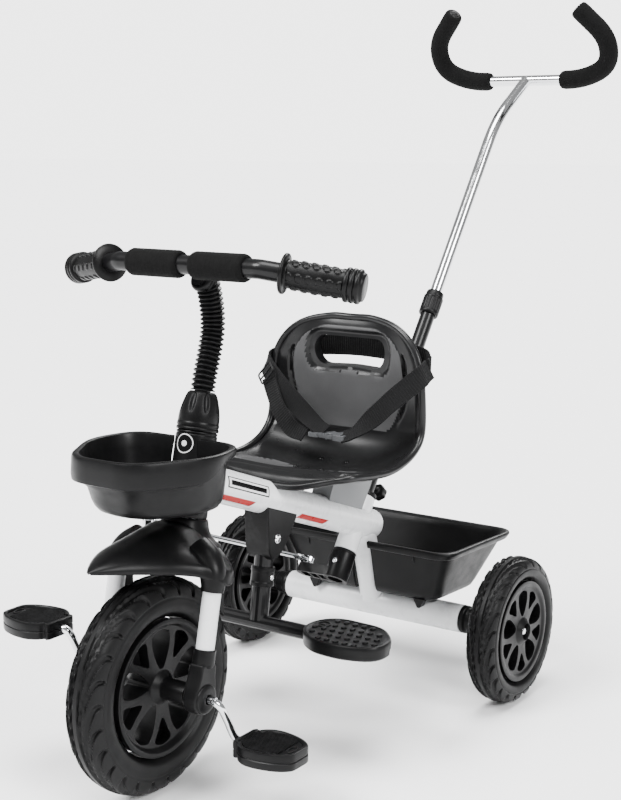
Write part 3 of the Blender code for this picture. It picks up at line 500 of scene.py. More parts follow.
def facing(azimuth, elevation):
    """Rotation of a camera or lamp that looks back from this side of the object."""
    turn, rise = math.radians(azimuth), math.radians(elevation)
    way = Vector((math.sin(turn) * math.cos(rise), -math.cos(turn) * math.cos(rise),
                  math.sin(rise)))
    return way.to_track_quat("Z", "Y").to_euler()


def background(node, strength):
    node.inputs["Color"].default_value = (1.0, 1.0, 1.0, 1.0)
    node.inputs["Strength"].default_value = strength
    return node.outputs[0]


def studio():
    camera = bpy.data.cameras.new("camera")
    camera.sensor_width = 36.0
    camera.lens = CAMERA_LENS
    holder = add_object("camera", camera)
    holder.location = CAMERA_PLACE
    holder.rotation_euler = facing(*CAMERA_WAY)
    bpy.context.scene.camera = holder

    bm = bmesh.new()
    bmesh.ops.create_grid(bm, x_segments=8, y_segments=8, size=40.0)
    floor = add_object("floor", mesh_of(bm, "floor"))
    floor.location = (0.0, 0.0, -0.0008)
    nodes = Nodes("floor_look")
    nodes.link(nodes.mix(nodes.noise(1.5), (0.93, 0.93, 0.935), (0.95, 0.95, 0.955)),
           nodes.shader.inputs["Base Color"])
    nodes.shader.inputs["Roughness"].default_value = 0.9
    nodes.shader.inputs["Specular IOR Level"].default_value = 0.1
    floor.data.materials.append(nodes.material)

    world = bpy.data.worlds.new("studio")
    world.use_nodes = True
    tree = world.node_tree
    pick = tree.nodes.new("ShaderNodeMixShader")
    path = tree.nodes.new("ShaderNodeLightPath")
    tree.links.new(path.outputs["Is Camera Ray"], pick.inputs[0])
    tree.links.new(background(tree.nodes["Background"], FILL), pick.inputs[1])
    tree.links.new(background(tree.nodes.new("ShaderNodeBackground"), BACKDROP), pick.inputs[2])
    tree.links.new(pick.outputs[0], tree.nodes["World Output"].inputs["Surface"])
    bpy.context.scene.world = world
    for name, azimuth, elevation, strength, spread in SUNS:
        light = bpy.data.lights.new(name, "SUN")
        light.energy = strength
        light.angle = math.radians(spread)
        add_object(name, light).rotation_euler = facing(azimuth, elevation)


def dress_cad():
    """Give every CAD node its slot's material."""
    for part in frame["record"]["subparts"]:
        node = frame["nodes"][part["node"]]
        node.data.materials.clear()
        node.data.materials.append(LOOKS[part["material_slot"]])


# ------------------------------------------------------------------ wheels
# half of the section from the bead to the crown: share of the half width, and of the height
TYRE_SECTION = [(-0.78, 0.00), (-0.93, 0.10), (-1.00, 0.26), (-0.99, 0.44), (-0.95, 0.60),
                (-0.84, 0.78), (-0.64, 0.915), (-0.32, 0.985), (0.0, 1.0)]


def tread_depth(angle, across, radius, half, grooves):
    """Depth of the swept grooves at one place on the tread, 0 to 1."""
    side = 1.0 if across >= 0.0 else -1.0
    u = abs(across)
    pitch = 2.0 * math.pi / grooves
    phase = 0.0 if side > 0.0 else 0.5 * pitch
    deepest = 0.0
    for sweep_angle, start, end, width, shift in ((1.80, 0.12, 1.02, 0.0022, 0.0),
                                                  (1.30, 0.50, 1.02, 0.0018, 0.5 * pitch)):
        line = -sweep_angle * pitch * (1.0 - min(u, 1.0)) ** 2.0 * 1.6
        slope = radius * sweep_angle * pitch * 3.2 * (1.0 - min(u, 1.0)) / half
        off = (angle + phase + shift - line) % pitch
        off = min(off, pitch - off) * radius / math.sqrt(1.0 + slope * slope)
        reach = ramp(u, start, start + 0.05) * (1.0 - ramp(u, end - 0.06, end))
        deepest = max(deepest, reach * (1.0 - ramp(off, 0.55 * width, 1.35 * width)))
    return deepest


def tyre(node, body, centre, radius, bead, half, grooves, steps):
    """Round tyre with two rows of swept grooves and a raised band on each side wall."""
    wall = radius - bead
    keys = [Vector((x * half, bead + r * wall, 0.0)) for x, r in TYRE_SECTION]
    keys += [Vector((-k.x, k.y, 0.0)) for k in reversed(keys[:-1])]
    section = smooth_path(keys, 6)
    groove_depth = 0.0030
    tread_from = 0.52               # share of the side wall below the grooves
    loops = []
    for angle in circle(steps):
        out = Vector((0.0, math.sin(angle), math.cos(angle)))
        loop = []
        for point in section:
            across = point.x / half
            height = (point.y - bead) / wall
            cut = 0.0
            if height > tread_from:
                cut = groove_depth * tread_depth(angle, across, radius, half, grooves)
                cut *= ramp(height, tread_from, tread_from + 0.1)
            line = 0.0007 * (1.0 - ramp(abs(height - 0.47), 0.015, 0.045))
            size = point.y - cut * ramp(height, 0.4, 0.9)
            pull = (cut * (1.0 - ramp(height, 0.6, 0.98)) + line) * (1.0 if across > 0 else -1.0)
            loop.append(centre + size * out + (point.x - pull) * X)
        inner = [centre + (bead - 0.0034) * out + x * X for x in (0.6 * half, -0.6 * half)]
        loops.append(loop + inner)
    publish(loft(bmesh.new(), loops, closed=True), f"{node}_tread", body, "tyre",
            replaces=(node,), sharp=34.0)


def polar(centre, radius, angle, x):
    return centre + Vector((x, radius * math.sin(angle), radius * math.cos(angle)))


def fan_cut(name, centre, angle, marks, face, depth):
    """Cutter with curved sides; marks are (radius, half angle in degrees) from the hub out."""
    right = [polar(centre, r, angle + math.radians(turn), face) for r, turn in marks]
    left = [polar(centre, r, angle - math.radians(turn), face) for r, turn in reversed(marks)]
    crown = polar(centre, marks[-1][0] + 0.0022, angle, face)
    foot = polar(centre, marks[0][0] - 0.0016, angle, face)
    curve = smooth_path([foot, *right, crown, *left, foot], 5)[:-1]
    return bare(slab(curve, depth * X), name)


def rim(node, body, centre, bead, half, bore, hub):
    """Five split spokes in a deep barrel, with a stepped hub."""
    inner_side, outer_side, hub_radius = hub
    barrel = bead - 0.0008
    well = barrel - 0.0062
    web = 0.0165
    edge = half + 0.0012
    sleeve = hub_radius - 0.0040
    profile = rounded([(bore, inner_side), (sleeve, inner_side), (sleeve, -web - 0.0070),
                       (hub_radius + 0.003, -web), (well - 0.004, -web), (well, -edge),
                       (barrel, -edge), (barrel - 0.003, -0.3 * edge), (barrel - 0.003, 0.3 * edge),
                       (barrel, edge), (well, edge), (well - 0.004, web),
                       (hub_radius + 0.003, web), (sleeve, web + 0.0070),
                       (sleeve, outer_side), (bore, outer_side)], 0.0014, 2,
                      closed=True)
    wheel = publish(lathe(profile, centre, X, 120, closed=True), f"{node}_cast", body,
                    "black_plastic", replaces=(node,))
    tools = []
    spokes = 5
    low, reach = hub_radius + 0.006, well - 0.007 - hub_radius - 0.006
    for angle in circle(spokes):
        marks = [(low + 0.02 * reach, 9.0), (low + 0.26 * reach, 15.5),
                 (low + 0.60 * reach, 17.0), (low + 0.86 * reach, 14.5),
                 (low + 0.97 * reach, 11.0)]
        tools.append(fan_cut("window", centre, angle, marks, -0.07, 0.14))
        middle_angle = angle + math.pi / spokes
        marks = [(low + 0.34 * reach, 3.0), (low + 0.46 * reach, 6.5),
                 (low + 0.66 * reach, 9.5), (low + 0.88 * reach, 12.5),
                 (low + 0.98 * reach, 10.0)]
        for face, depth in ((web - 0.0135, 0.03), (-web + 0.0135, -0.03)):
            tools.append(fan_cut("arch", centre, middle_angle, marks, face, depth))
    carve(wheel, tools)
    soften(wheel, 0.0006, 1)


def half_width(node):
    low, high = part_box(node)
    return (high[0] - low[0]) / 2


def rear_point(x):
    """A point on the rear axle's line."""
    return Vector((x, REAR.y, REAR.z))


def wheels():
    tyre("front_tyre", "front_wheel", AXLE, AXLE.z, 0.0836, half_width("front_tyre"), 13, 800)
    rim("front_rim", "front_wheel", AXLE, 0.0806, 0.0215, 0.0051, (-0.0560, 0.0560, 0.0165))
    for side, label in SIDES:
        centre = rear_point(side * HALF_TRACK)
        node = f"rear_tyre_{label}"
        body = f"rear_wheel_{label}"
        tyre(node, body, centre, REAR.z, 0.0706, half_width(node), 12, 640)
        ends = (-0.0240, 0.0100) if side > 0 else (-0.0100, 0.0240)
        rim(f"rear_rim_{label}", body, centre, 0.0676, 0.0180, 0.0046, (*ends, 0.0150))
        axle_nut(side, label)
        axle_cap(side, label)


def axle_nut(side, label):
    """Hexagon cap nut with a washer flange."""
    base = rear_point(side * (HALF_TRACK + 0.0105))

    def hexagon(angle, radius, height):
        if height < 0.0018 or height > 0.0085:
            return radius
        return six_flats(angle, radius, 0.0062)

    turned(f"axle_nut_{label}_hex", "root", "chrome",
           [(0.0, -0.0002), (0.0082, -0.0002), (0.0082, 0.0014), (0.0078, 0.0018),
            (0.0068, 0.0022), (0.0068, 0.0064), (0.0058, 0.0074), (0.0050, 0.0086),
            (0.0034, 0.0098), (0.0, 0.0104)], base, side * X, 48, closed=False,
           replaces=(f"axle_nut_{label}",), shape=hexagon, sharp=25.0)


def axle_cap(side, label):
    """Stepped end cap with fine ribs on its outer part."""
    def ribbed(angle, radius, height):
        return radius - 0.0005 * (0.5 + 0.5 * math.cos(16.0 * angle)) if height > 0.022 else radius

    turned(f"axle_cap_{label}_ribbed", "root", "black_plastic",
           [(0.0046, 0.0), (0.0188, 0.0), (0.0188, 0.0062), (0.0158, 0.0090),
            (0.0152, 0.0200), (0.0140, 0.0210), (0.0138, 0.0446), (0.0046, 0.0446)],
           rear_point(side * 0.1414), side * X, 96, 0.0010, replaces=(f"axle_cap_{label}",),
           shape=ribbed)


# ------------------------------------------------------------------ frame
TUBE_SLOPE = 0.360
TUBE_RADIUS = 0.0210
TUBE_CUT = 0.0212               # what a neighbour of the main tube is cut to
SOCKET_CUT = 0.0158
AXLE_TUBE_RADIUS = 0.0190
POST_RADIUS = 0.0172
WELD_RADIUS = 0.0152
HEAD_LINE = [HEAD - 0.05 * HEAD_AXIS, HEAD + 0.15 * HEAD_AXIS]
POLE_LINE = [POLE - 0.05 * POLE_AXIS, POLE + 0.20 * POLE_AXIS]


def tube_point(y):
    """Centre line of the main tube."""
    return at(0.0, y, 0.3055 - (y - 0.2) * TUBE_SLOPE)


TUBE_START, TUBE_END = tube_point(0.080), tube_point(0.458)
TUBE_ALONG = (tube_point(1.0) - tube_point(0.0)).normalized()
TUBE_UP = -TUBE_ALONG.cross(X)


def tube_patch(name, start, length, low, high, slant, look, lift, side):
    """Thin sticker bent round the main tube: angles in degrees up from the level side."""
    radius = TUBE_RADIUS + lift
    steps, turns = 24, 8
    bm = bmesh.new()
    rows = []
    for i in range(steps + 1):
        row = []
        for j in range(turns + 1):
            t = j / turns
            angle = math.radians(low + (high - low) * t)
            shift = start + length * i / steps + slant * t
            point = tube_point(0.0) + shift * TUBE_ALONG
            point = point + radius * (side * math.cos(angle) * X + math.sin(angle) * TUBE_UP)
            row.append(bm.verts.new(point))
        rows.append(row)
    for lower, upper in zip(rows, rows[1:]):
        for j in range(turns):
            bm.faces.new((lower[j], lower[j + 1], upper[j + 1], upper[j]))
    thicken(publish(bm, name, "root", "frame_paint", look), 0.00010)


def weld_bead(name, points, radius):
    """Rippled bead along a closed line."""
    path = even_path(points + [points[0]], 0.0012)
    publish(sweep(path, lambda i: radius * (1.0 + 0.16 * math.sin(1.9 * i)), 12), name, "root",
            "frame_paint", sharp=60.0)


def saddle(tube_start, tube_axis, tube_radius, post_start, post_axis, post_radius):
    """Line where a round post, followed along its axis, first meets a round tube."""
    first, second = side_vectors(post_axis)
    points = []
    for angle in circle(72):
        base = post_start + post_radius * (math.cos(angle) * first + math.sin(angle) * second)
        offset = base - tube_start
        along = post_axis - tube_axis * post_axis.dot(tube_axis)
        across = offset - tube_axis * offset.dot(tube_axis)
        a = along.dot(along)
        b = 2.0 * along.dot(across)
        c = across.dot(across) - tube_radius ** 2
        root = math.sqrt(max(b * b - 4.0 * a * c, 0.0))
        points.append(base + post_axis * ((-b - root) / (2.0 * a)))
    return points


def frame_tubes():
    """Main tube with its domed end, head tube, pole tube, rear axle tube, post and welds."""
    start, end, along = TUBE_START, TUBE_END, TUBE_ALONG
    dome = [(0.0, 1.0), (0.0035, 0.995), (0.0065, 0.965), (0.0095, 0.88), (0.0120, 0.74),
            (0.0135, 0.58), (0.0143, 0.38), (0.0145, 0.12)]
    path = [start, start.lerp(end, 0.5), end] + [end + (0.001 + step) * along for step, _ in dome]
    sizes = [1.0, 1.0, 1.0] + [size for _, size in dome]
    tube = publish(sweep(path, lambda i: TUBE_RADIUS * sizes[i], 96), "main_tube_skin", "root",
                   "frame_paint", replaces=("main_tube",))
    carve(tube, [drill("head_bore", HEAD_LINE, 0.0194, 64),
                 drill("pole_bore", POLE_LINE, 0.0159, 64)])
    turned("head_tube_skin", "root", "frame_paint",
           [(0.0145, 0.0205), (0.0190, 0.0205), (0.0190, 0.0770), (0.0145, 0.0770)],
           HEAD, HEAD_AXIS, 72, 0.0008, 2, replaces=("head_tube",))
    turned("pole_socket_skin", "root", "frame_paint",
           [(0.0115, 0.0), (0.0155, 0.0), (0.0155, 0.0810), (0.0115, 0.0810)],
           POLE, POLE_AXIS, 64, 0.0008, 2, replaces=("pole_socket",))
    rear_centre = rear_point(0.0)
    publish(sweep([rear_point(x) for x in (-0.141, 0.0, 0.141)], AXLE_TUBE_RADIUS, 72,
                  bore=0.0165), "rear_axle_tube_skin", "root", "frame_paint",
            replaces=("rear_axle_tube",))
    top, foot = at(0.0, 0.4440, 0.2150), at(0.0, 0.4740, 0.1040)
    post = publish(sweep([top, foot], POST_RADIUS, 64), "rear_post_skin", "root", "frame_paint",
                   replaces=("rear_post",))
    carve(post, [drill("tube_bore", [start - 0.1 * along, end + 0.1 * along], 0.0213),
                 drill("axle_bore", [rear_point(-0.3), rear_point(0.3)], 0.0193),
                 drill("socket_bore", POLE_LINE, SOCKET_CUT, 64)])
    post_axis = (foot - top).normalized()
    weld_bead("post_foot_weld", saddle(rear_centre, X, 0.0192, top, post_axis, WELD_RADIUS),
              0.0011)
    weld_bead("post_top_weld", saddle(start, along, TUBE_CUT, foot, -post_axis, WELD_RADIUS),
              0.0011)
    for name, base, axis in (("socket_weld_low", POLE - 0.1 * POLE_AXIS, POLE_AXIS),
                             ("socket_weld_high", POLE + 0.2 * POLE_AXIS, -POLE_AXIS)):
        weld_bead(name, saddle(start, along, TUBE_CUT, base, axis, 0.0157), 0.0010)


def stickers():
    """Two stripes low on each side of the main tube, and a plain outlined label."""
    for side, label in SIDES:
        for i, (shift, length) in enumerate(((0.110, 0.075), (0.288, 0.064))):
            tube_patch(f"stripe_edge_{label}_{i}", shift - 0.0012, length + 0.0024, -51.0, -25.0,
                       0.0065, "white", 0.00015, side)
            tube_patch(f"stripe_{label}_{i}", shift, length, -49.0, -27.0, 0.0060, "red",
                       0.00030, side)
        tube_patch(f"label_edge_{label}", 0.1270, 0.0860, -2.0, 36.0, 0.0, "label", 0.00015, side)
        tube_patch(f"label_{label}", 0.1290, 0.0820, 2.0, 32.0, 0.0, "white", 0.00030, side)
        tube_patch(f"label_bar_{label}", 0.1330, 0.0740, 9.0, 25.0, 0.0, "label", 0.00045, side)


def seat_plate():
    marks = [(0.3360, 0.2600), (0.4048, 0.2216), (0.4397, 0.2704), (0.4530, 0.2890),
             (0.4000, 0.3025), (0.3560, 0.3025)]
    plate = fillet([at(-0.0150, y, z) for y, z in marks], 0.0050, 4, closed=True)
    gusset = publish(slab(plate, 0.0300 * X), "seat_plate", "root", "gusset_paint",
                     replaces=("seat_gusset",))
    carve(gusset, [drill("tube_bore", [TUBE_START, TUBE_END], TUBE_CUT),
                   drill("socket_bore", POLE_LINE, SOCKET_CUT, 64)])
    soften(gusset, 0.0016, 2)


def bracket():
    """Folded channel under the main tube: two cheeks joined in front, and a rivet."""
    half, wall = 0.0175, 0.0025
    marks = [(0.2620, 0.2640), (0.2400, 0.2360), (0.2280, 0.2250), (0.2120, 0.2225),
             (0.2050, 0.2300)]
    outline = [tube_point(0.2010), tube_point(0.2680)] + [at(0.0, y, z) for y, z in marks]
    outline = outline[:2] + fillet(outline[1:] + outline[:1], 0.0070, 4)[1:-1]
    tube = [tube_point(0.1), tube_point(0.4)]
    for side, label in SIDES:
        inner = [p + side * (half - wall) * X for p in outline]
        cheek = publish(slab(inner, side * wall * X), f"bracket_cheek_{label}", "root",
                        "black_plastic",
                        replaces=("footrest_bracket",) if side > 0 else ())
        carve(cheek, [drill("tube_bore", tube, TUBE_CUT)])
        soften(cheek, 0.0009, 2)
    line = [at(-half, y, z) for y, z in ((0.2010, 0.2900), (0.2030, 0.2380), (0.2052, 0.2300),
                                         (0.2110, 0.2226), (0.2130, 0.2240), (0.2076, 0.2312),
                                         (0.2056, 0.2385), (0.2036, 0.2900))]
    web = publish(slab(line, 2.0 * half * X), "bracket_web", "root", "black_plastic")
    carve(web, [drill("tube_bore", tube, TUBE_CUT)])
    soften(web, 0.0006, 1)
    for side, label in SIDES:
        turned(f"rivet_head_{label}", "root", "chrome",
               [(0.0, 0.0), (0.0060, 0.0), (0.0058, 0.0012), (0.0040, 0.0026), (0.0, 0.0030)],
               PIVOT + side * 0.0176 * X, side * X, 32, 0.0008, closed=False)


# ------------------------------------------------------------------ fork, head and mudguard
LEG_LEAN = math.radians(12.5)
LEG_WAY = Vector((0.0, math.sin(LEG_LEAN), math.cos(LEG_LEAN)))
REARWARD = Vector((0.0, LEG_WAY.z, -LEG_WAY.y))
LEG_X = middle("fork_leg_left").x
COLLAR_RADIUS = 0.0240
BADGE_HEIGHT = 0.0905


def leg_point(distance):
    return AXLE + distance * LEG_WAY


def head_parts():
    turned("bearing_cup_round", "root", "black_plastic",
           [(0.0133, 0.0075), (0.0250, 0.0075), (0.0250, 0.0165), (0.0215, 0.0201),
            (0.0133, 0.0201)], HEAD, HEAD_AXIS, 80, 0.0010, replaces=("bearing_cup",))
    turned("head_collar_round", "root", "black_plastic",
           [(0.0133, 0.0774), (0.0193, 0.0774), (0.0193, 0.0500), (0.0236, 0.0500),
            (0.0240, 0.0520), (COLLAR_RADIUS, 0.1015), (0.0232, 0.1020), (0.0232, 0.1032),
            (0.0240, 0.1038), (0.0236, 0.1056), (0.0222, 0.1058), (0.0222, 0.10635),
            (0.0133, 0.10635)], HEAD, HEAD_AXIS, 96, 0.0005, 2, replaces=("head_collar",))
    collar_badge()


def collar_badge():
    """Plain round badge bent round the front of the collar: a ring and a dot."""
    forward = square_to(HEAD_AXIS, -Y)
    centre_angle = math.radians(6.0)
    for name, inner, outer, lift, look in (("badge_face", 0.0, 0.0118, 0.00012, "label"),
                                           ("badge_ring", 0.0100, 0.0112, 0.00024, "white"),
                                           ("badge_dot", 0.0, 0.0034, 0.00024, "white")):
        bm = bmesh.new()
        rows = []
        for k in range(7):
            size = inner + (outer - inner) * k / 6.0
            row = []
            for angle in circle(64):
                around = size * math.cos(angle) / COLLAR_RADIUS + centre_angle
                height = BADGE_HEIGHT + size * math.sin(angle)
                radius = COLLAR_RADIUS + lift
                row.append(HEAD + height * HEAD_AXIS
                           + radius * (math.cos(around) * forward + math.sin(around) * X))
            rows.append(row)
        if inner == 0.0:
            rows[0] = [rows[0][0]]
        rings = [[bm.verts.new(point) for point in row] for row in rows]
        for lower, upper in zip(rings, rings[1:]):
            join_rings(bm, lower, upper)
        thicken(publish(bm, name, "root", "black_plastic", look), 0.00008)


def lock_nut():
    """Hand nut: eight long scallops run down from its shoulder, and two rings round its skirt."""
    def scalloped(angle, radius, height):
        t = (height - 0.1280) / 0.0220
        if radius < 0.0140 or not -0.05 < t < 1.10:
            return radius
        turn = (angle + 0.2) % (math.pi / 4.0) - math.pi / 8.0
        width = 0.0037 * math.sqrt(max(0.0, 1.0 - (2.0 * t - 1.0) ** 2)) + 1e-6
        off = abs(turn) * radius / width
        return radius - 0.0016 * max(0.0, 1.0 - off * off)

    shoulder = smooth_path([(0.0240, 0.1172, 0.0), (0.0236, 0.1250, 0.0), (0.0222, 0.1330, 0.0),
                            (0.0204, 0.1400, 0.0), (0.0184, 0.1462, 0.0), (0.0166, 0.1498, 0.0),
                            (0.0148, 0.1514, 0.0)], 6)
    profile = [(0.0131, 0.1064), (0.0238, 0.1064), (0.0246, 0.1072), (0.0248, 0.1090),
               (0.0244, 0.1100), (0.0238, 0.1104), (0.0238, 0.1114), (0.0244, 0.1118),
               (0.0246, 0.1140), (0.0242, 0.1156), (0.0240, 0.1160)]
    profile += [(p.x, p.y) for p in shoulder] + [(0.0140, 0.1520), (0.0131, 0.1520)]
    turned("lock_nut_scalloped", "lock_nut", "black_plastic", profile, HEAD, HEAD_AXIS, 192,
           replaces=("lock_nut",), shape=scalloped)


def fork():
    for side, label in SIDES:
        offset = side * LEG_X * X
        publish(sweep([leg_point(0.0385) + offset, leg_point(0.0840) + offset,
                       leg_point(0.1330) + offset], 0.0105, 48), f"fork_leg_{label}_skin", "fork",
                "frame_paint", replaces=(f"fork_leg_{label}",))
        fork_cover(side, label)


def fork_cover(side, label):
    """Plastic foot over the leg's end: rounded shell, screw boss and domed hub cap."""
    offset = side * LEG_X * X
    outline = [(0.0185 * math.cos(math.pi * i / 16), -0.0185 * math.sin(math.pi * i / 16))
               for i in range(17)]
    outline += [(-0.0166, 0.0130), (-0.0138, 0.0250), (-0.0128, 0.0384), (0.0128, 0.0384),
                (0.0138, 0.0250), (0.0166, 0.0130)]
    points = [AXLE + offset - 0.0100 * X + a * REARWARD + b * LEG_WAY for a, b in outline]
    cover = publish(slab(points, 0.0200 * X), f"fork_cover_{label}_shell", "fork",
                    "black_plastic", replaces=(f"fork_cover_{label}",))
    carve(cover, [drill("axle_bore", [AXLE + offset - 0.05 * X, AXLE + offset + 0.05 * X],
                        0.0053, 32)])
    turned(f"cover_cuff_{label}", "fork", "black_plastic",
           [(0.0106, 0.0340), (0.0112, 0.0340), (0.0126, 0.0375), (0.0126, 0.0530),
            (0.0120, 0.0540), (0.0106, 0.0540)], AXLE + offset, LEG_WAY, 56, 0.0007)
    soften(cover, 0.0032, 3)
    turned(f"hub_cap_{label}", "fork", "black_plastic",
           [(0.0053, -0.001), (0.0164, -0.001), (0.0164, 0.0012), (0.0152, 0.0020),
            (0.0120, 0.0032), (0.0080, 0.0038), (0.0053, 0.0038)],
           AXLE + side * (LEG_X + 0.0100) * X, side * X, 64, 0.0007)
    boss = leg_point(0.0290) + offset + 0.0110 * REARWARD
    turned(f"screw_boss_{label}", "fork", "black_plastic",
           [(0.0, -0.004), (0.0058, -0.004), (0.0058, 0.0030), (0.0046, 0.0034),
            (0.0044, 0.0018), (0.0, 0.0018)], boss, REARWARD, 36, 0.0005, closed=False)
    screw_head(f"cover_screw_{label}", boss + 0.0020 * REARWARD, REARWARD, "fork", 0.0038)


# Stations from the tip back: degrees forward of upright round the axle, half width, distance of
# the crest and of the edge from the axle, and how far the section has its bell shape.
FENDER_ANGLES = [32.0, 29.2, 24.5, 18.6, 12.0, 4.0, -4.0, -9.0, -14.0, -19.0, -24.0, -31.0,
                 -39.0, -46.0]
FENDER_HALF = [0.003, 0.012, 0.024, 0.036, 0.046, 0.056, 0.069, 0.0815, 0.0850, 0.0840, 0.0780,
               0.058, 0.046, 0.030]
FENDER_CREST = [0.1835, 0.1825, 0.1805, 0.1785, 0.1770, 0.1780, 0.1815, 0.1850, 0.1870, 0.1875,
                0.1860, 0.180, 0.171, 0.163]
FENDER_EDGE = [0.1815, 0.1750, 0.1660, 0.1570, 0.1490, 0.1420, 0.1370, 0.132, 0.129, 0.129,
               0.133, 0.141, 0.148, 0.156]
FENDER_NECK = [0.0, 0.0, 0.0, 0.05, 0.20, 0.45, 0.75, 0.95, 1.0, 1.0, 0.8, 0.4, 0.1, 0.0]


def fender_height(across, neck):
    """Height of the section from edge (0) to crest (1): a dome, or a bell with long flanks."""
    across = min(abs(across), 1.0)
    dome = (1.0 - across ** 2.2) ** 0.62
    bell = 1.0 - 0.60 * ramp(across, 0.12, 0.80) - 0.16 * ramp(across, 0.70, 0.96)
    bell *= 1.0 - max(0.0, (across - 0.90) / 0.10) ** 3
    return dome * (1.0 - neck) + bell * neck


def fender():
    """Mudguard: pointed in front and rising to a neck under the head."""
    keys = [Vector(row) for row in zip(FENDER_ANGLES, FENDER_HALF, FENDER_CREST)]
    more = [Vector((edge, neck, 0.0)) for edge, neck in zip(FENDER_EDGE, FENDER_NECK)]
    columns = 72
    thickness = 0.0022
    loops = []
    for key, extra in zip(smooth_path(keys, 7), smooth_path(more, 7)):
        angle = math.radians(key.x)
        out = Vector((0.0, -math.sin(angle), math.cos(angle)))
        neck = min(max(extra.y, 0.0), 1.0)
        inset = min(thickness, 0.5 * key.y)
        skin = []
        lining = []
        for i in range(columns + 1):
            across = math.sin((2.0 * i / columns - 1.0) * math.pi / 2.0)
            height = extra.x + (key.z - extra.x) * fender_height(across, neck)
            skin.append(AXLE + key.y * across * X + height * out)
            lining.append(AXLE + (key.y - inset) * across * X + (height - 0.0024) * out)
        loops.append(skin + lining[::-1])
    shell = publish(loft(bmesh.new(), loops), "fender_shell", "fork", "black_plastic",
                    replaces=("fender",), sharp=60.0)
    carve(shell, [drill("steerer_hole", [HEAD - 0.04 * HEAD_AXIS, HEAD + 0.06 * HEAD_AXIS],
                        0.0200, 48)], sharp=60.0)
    flare = [(0.0245, 0.0070), (0.0262, 0.0066), (0.0270, 0.0040), (0.0282, -0.0010),
             (0.0305, -0.0060), (0.0345, -0.0110), (0.0400, -0.0155), (0.0470, -0.0195),
             (0.0470, -0.0215), (0.0400, -0.0180), (0.0340, -0.0136), (0.0292, -0.0080),
             (0.0262, -0.0010), (0.0245, 0.0050)]

    def pinched(angle, radius, height):
        """Wider across than fore and aft as it flares into the shell."""
        return radius * (1.0 - 0.16 * ramp(-height, 0.0, 0.016) * math.sin(angle) ** 2)

    turned("fender_neck", "fork", "black_plastic", flare, HEAD, HEAD_AXIS, 96, shape=pinched,
           sharp=60.0)
    for side, label in SIDES:
        fender_sleeve(side, label)
        fender_panel(side, label)


def fender_sleeve(side, label):
    """Sleeve that spreads from the fork's leg into the shell."""
    offset = side * LEG_X * X
    path = smooth_path([leg_point(0.1180) + offset, leg_point(0.1270) + offset,
                        leg_point(0.1390) + side * (LEG_X - 0.003) * X,
                        leg_point(0.1500) + side * (LEG_X - 0.012) * X + 0.001 * REARWARD,
                        leg_point(0.1600) + side * (LEG_X - 0.028) * X + 0.002 * REARWARD], 7)
    last = len(path) - 1
    publish(sweep(path, lambda i: 0.0132 + 0.0046 * ramp(i, 0, last), 40, bore=0.0109),
            f"fender_sleeve_{label}", "fork", "black_plastic")


def fender_panel(side, label):
    """Three-cornered web behind the sleeve, ending in a spike."""
    x = side * (LEG_X - 0.004)
    corners = [(0.0050, 0.1580), (0.0060, 0.1010), (0.0105, 0.0925), (0.0160, 0.1000),
               (0.0300, 0.0880), (0.0255, 0.1080), (0.0200, 0.1330), (0.0120, 0.1540)]
    outline = [AXLE + x * X + a * REARWARD + b * LEG_WAY for a, b in corners]
    panel = publish(slab(fillet(outline, 0.0018, 3, closed=True), side * 0.0024 * X),
                    f"fender_panel_{label}", "fork", "black_plastic")
    soften(panel, 0.0005, 2)


def front_lever():
    """Flat block on the fork's right that carries the rod's ball stud."""
    soften(frame["nodes"]["steering_lever_front"], 0.0012, 3)
    centre = middle("steering_lever_front")
    top = Vector((centre.x, centre.y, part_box("steering_lever_front")[1][2]))
    turned("front_ball_stud", "fork", "chrome",
           [(0.0, 0.0), (0.0044, 0.0), (0.0044, 0.0016), (0.0021, 0.0022), (0.0021, 0.0130),
            (0.0, 0.0132)], top, Z, 32, 0.0004, closed=False)


# ------------------------------------------------------------------ baskets
def tray_loop(front_half, middle_half, rear_half, front_y, middle_y, rear_y, z, corner):
    outline = [at(front_half, front_y, z), at(middle_half, middle_y, z), at(rear_half, rear_y, z),
               at(-rear_half, rear_y, z), at(-middle_half, middle_y, z), at(-front_half, front_y, z)]
    return fillet(outline, corner, 8, closed=True)


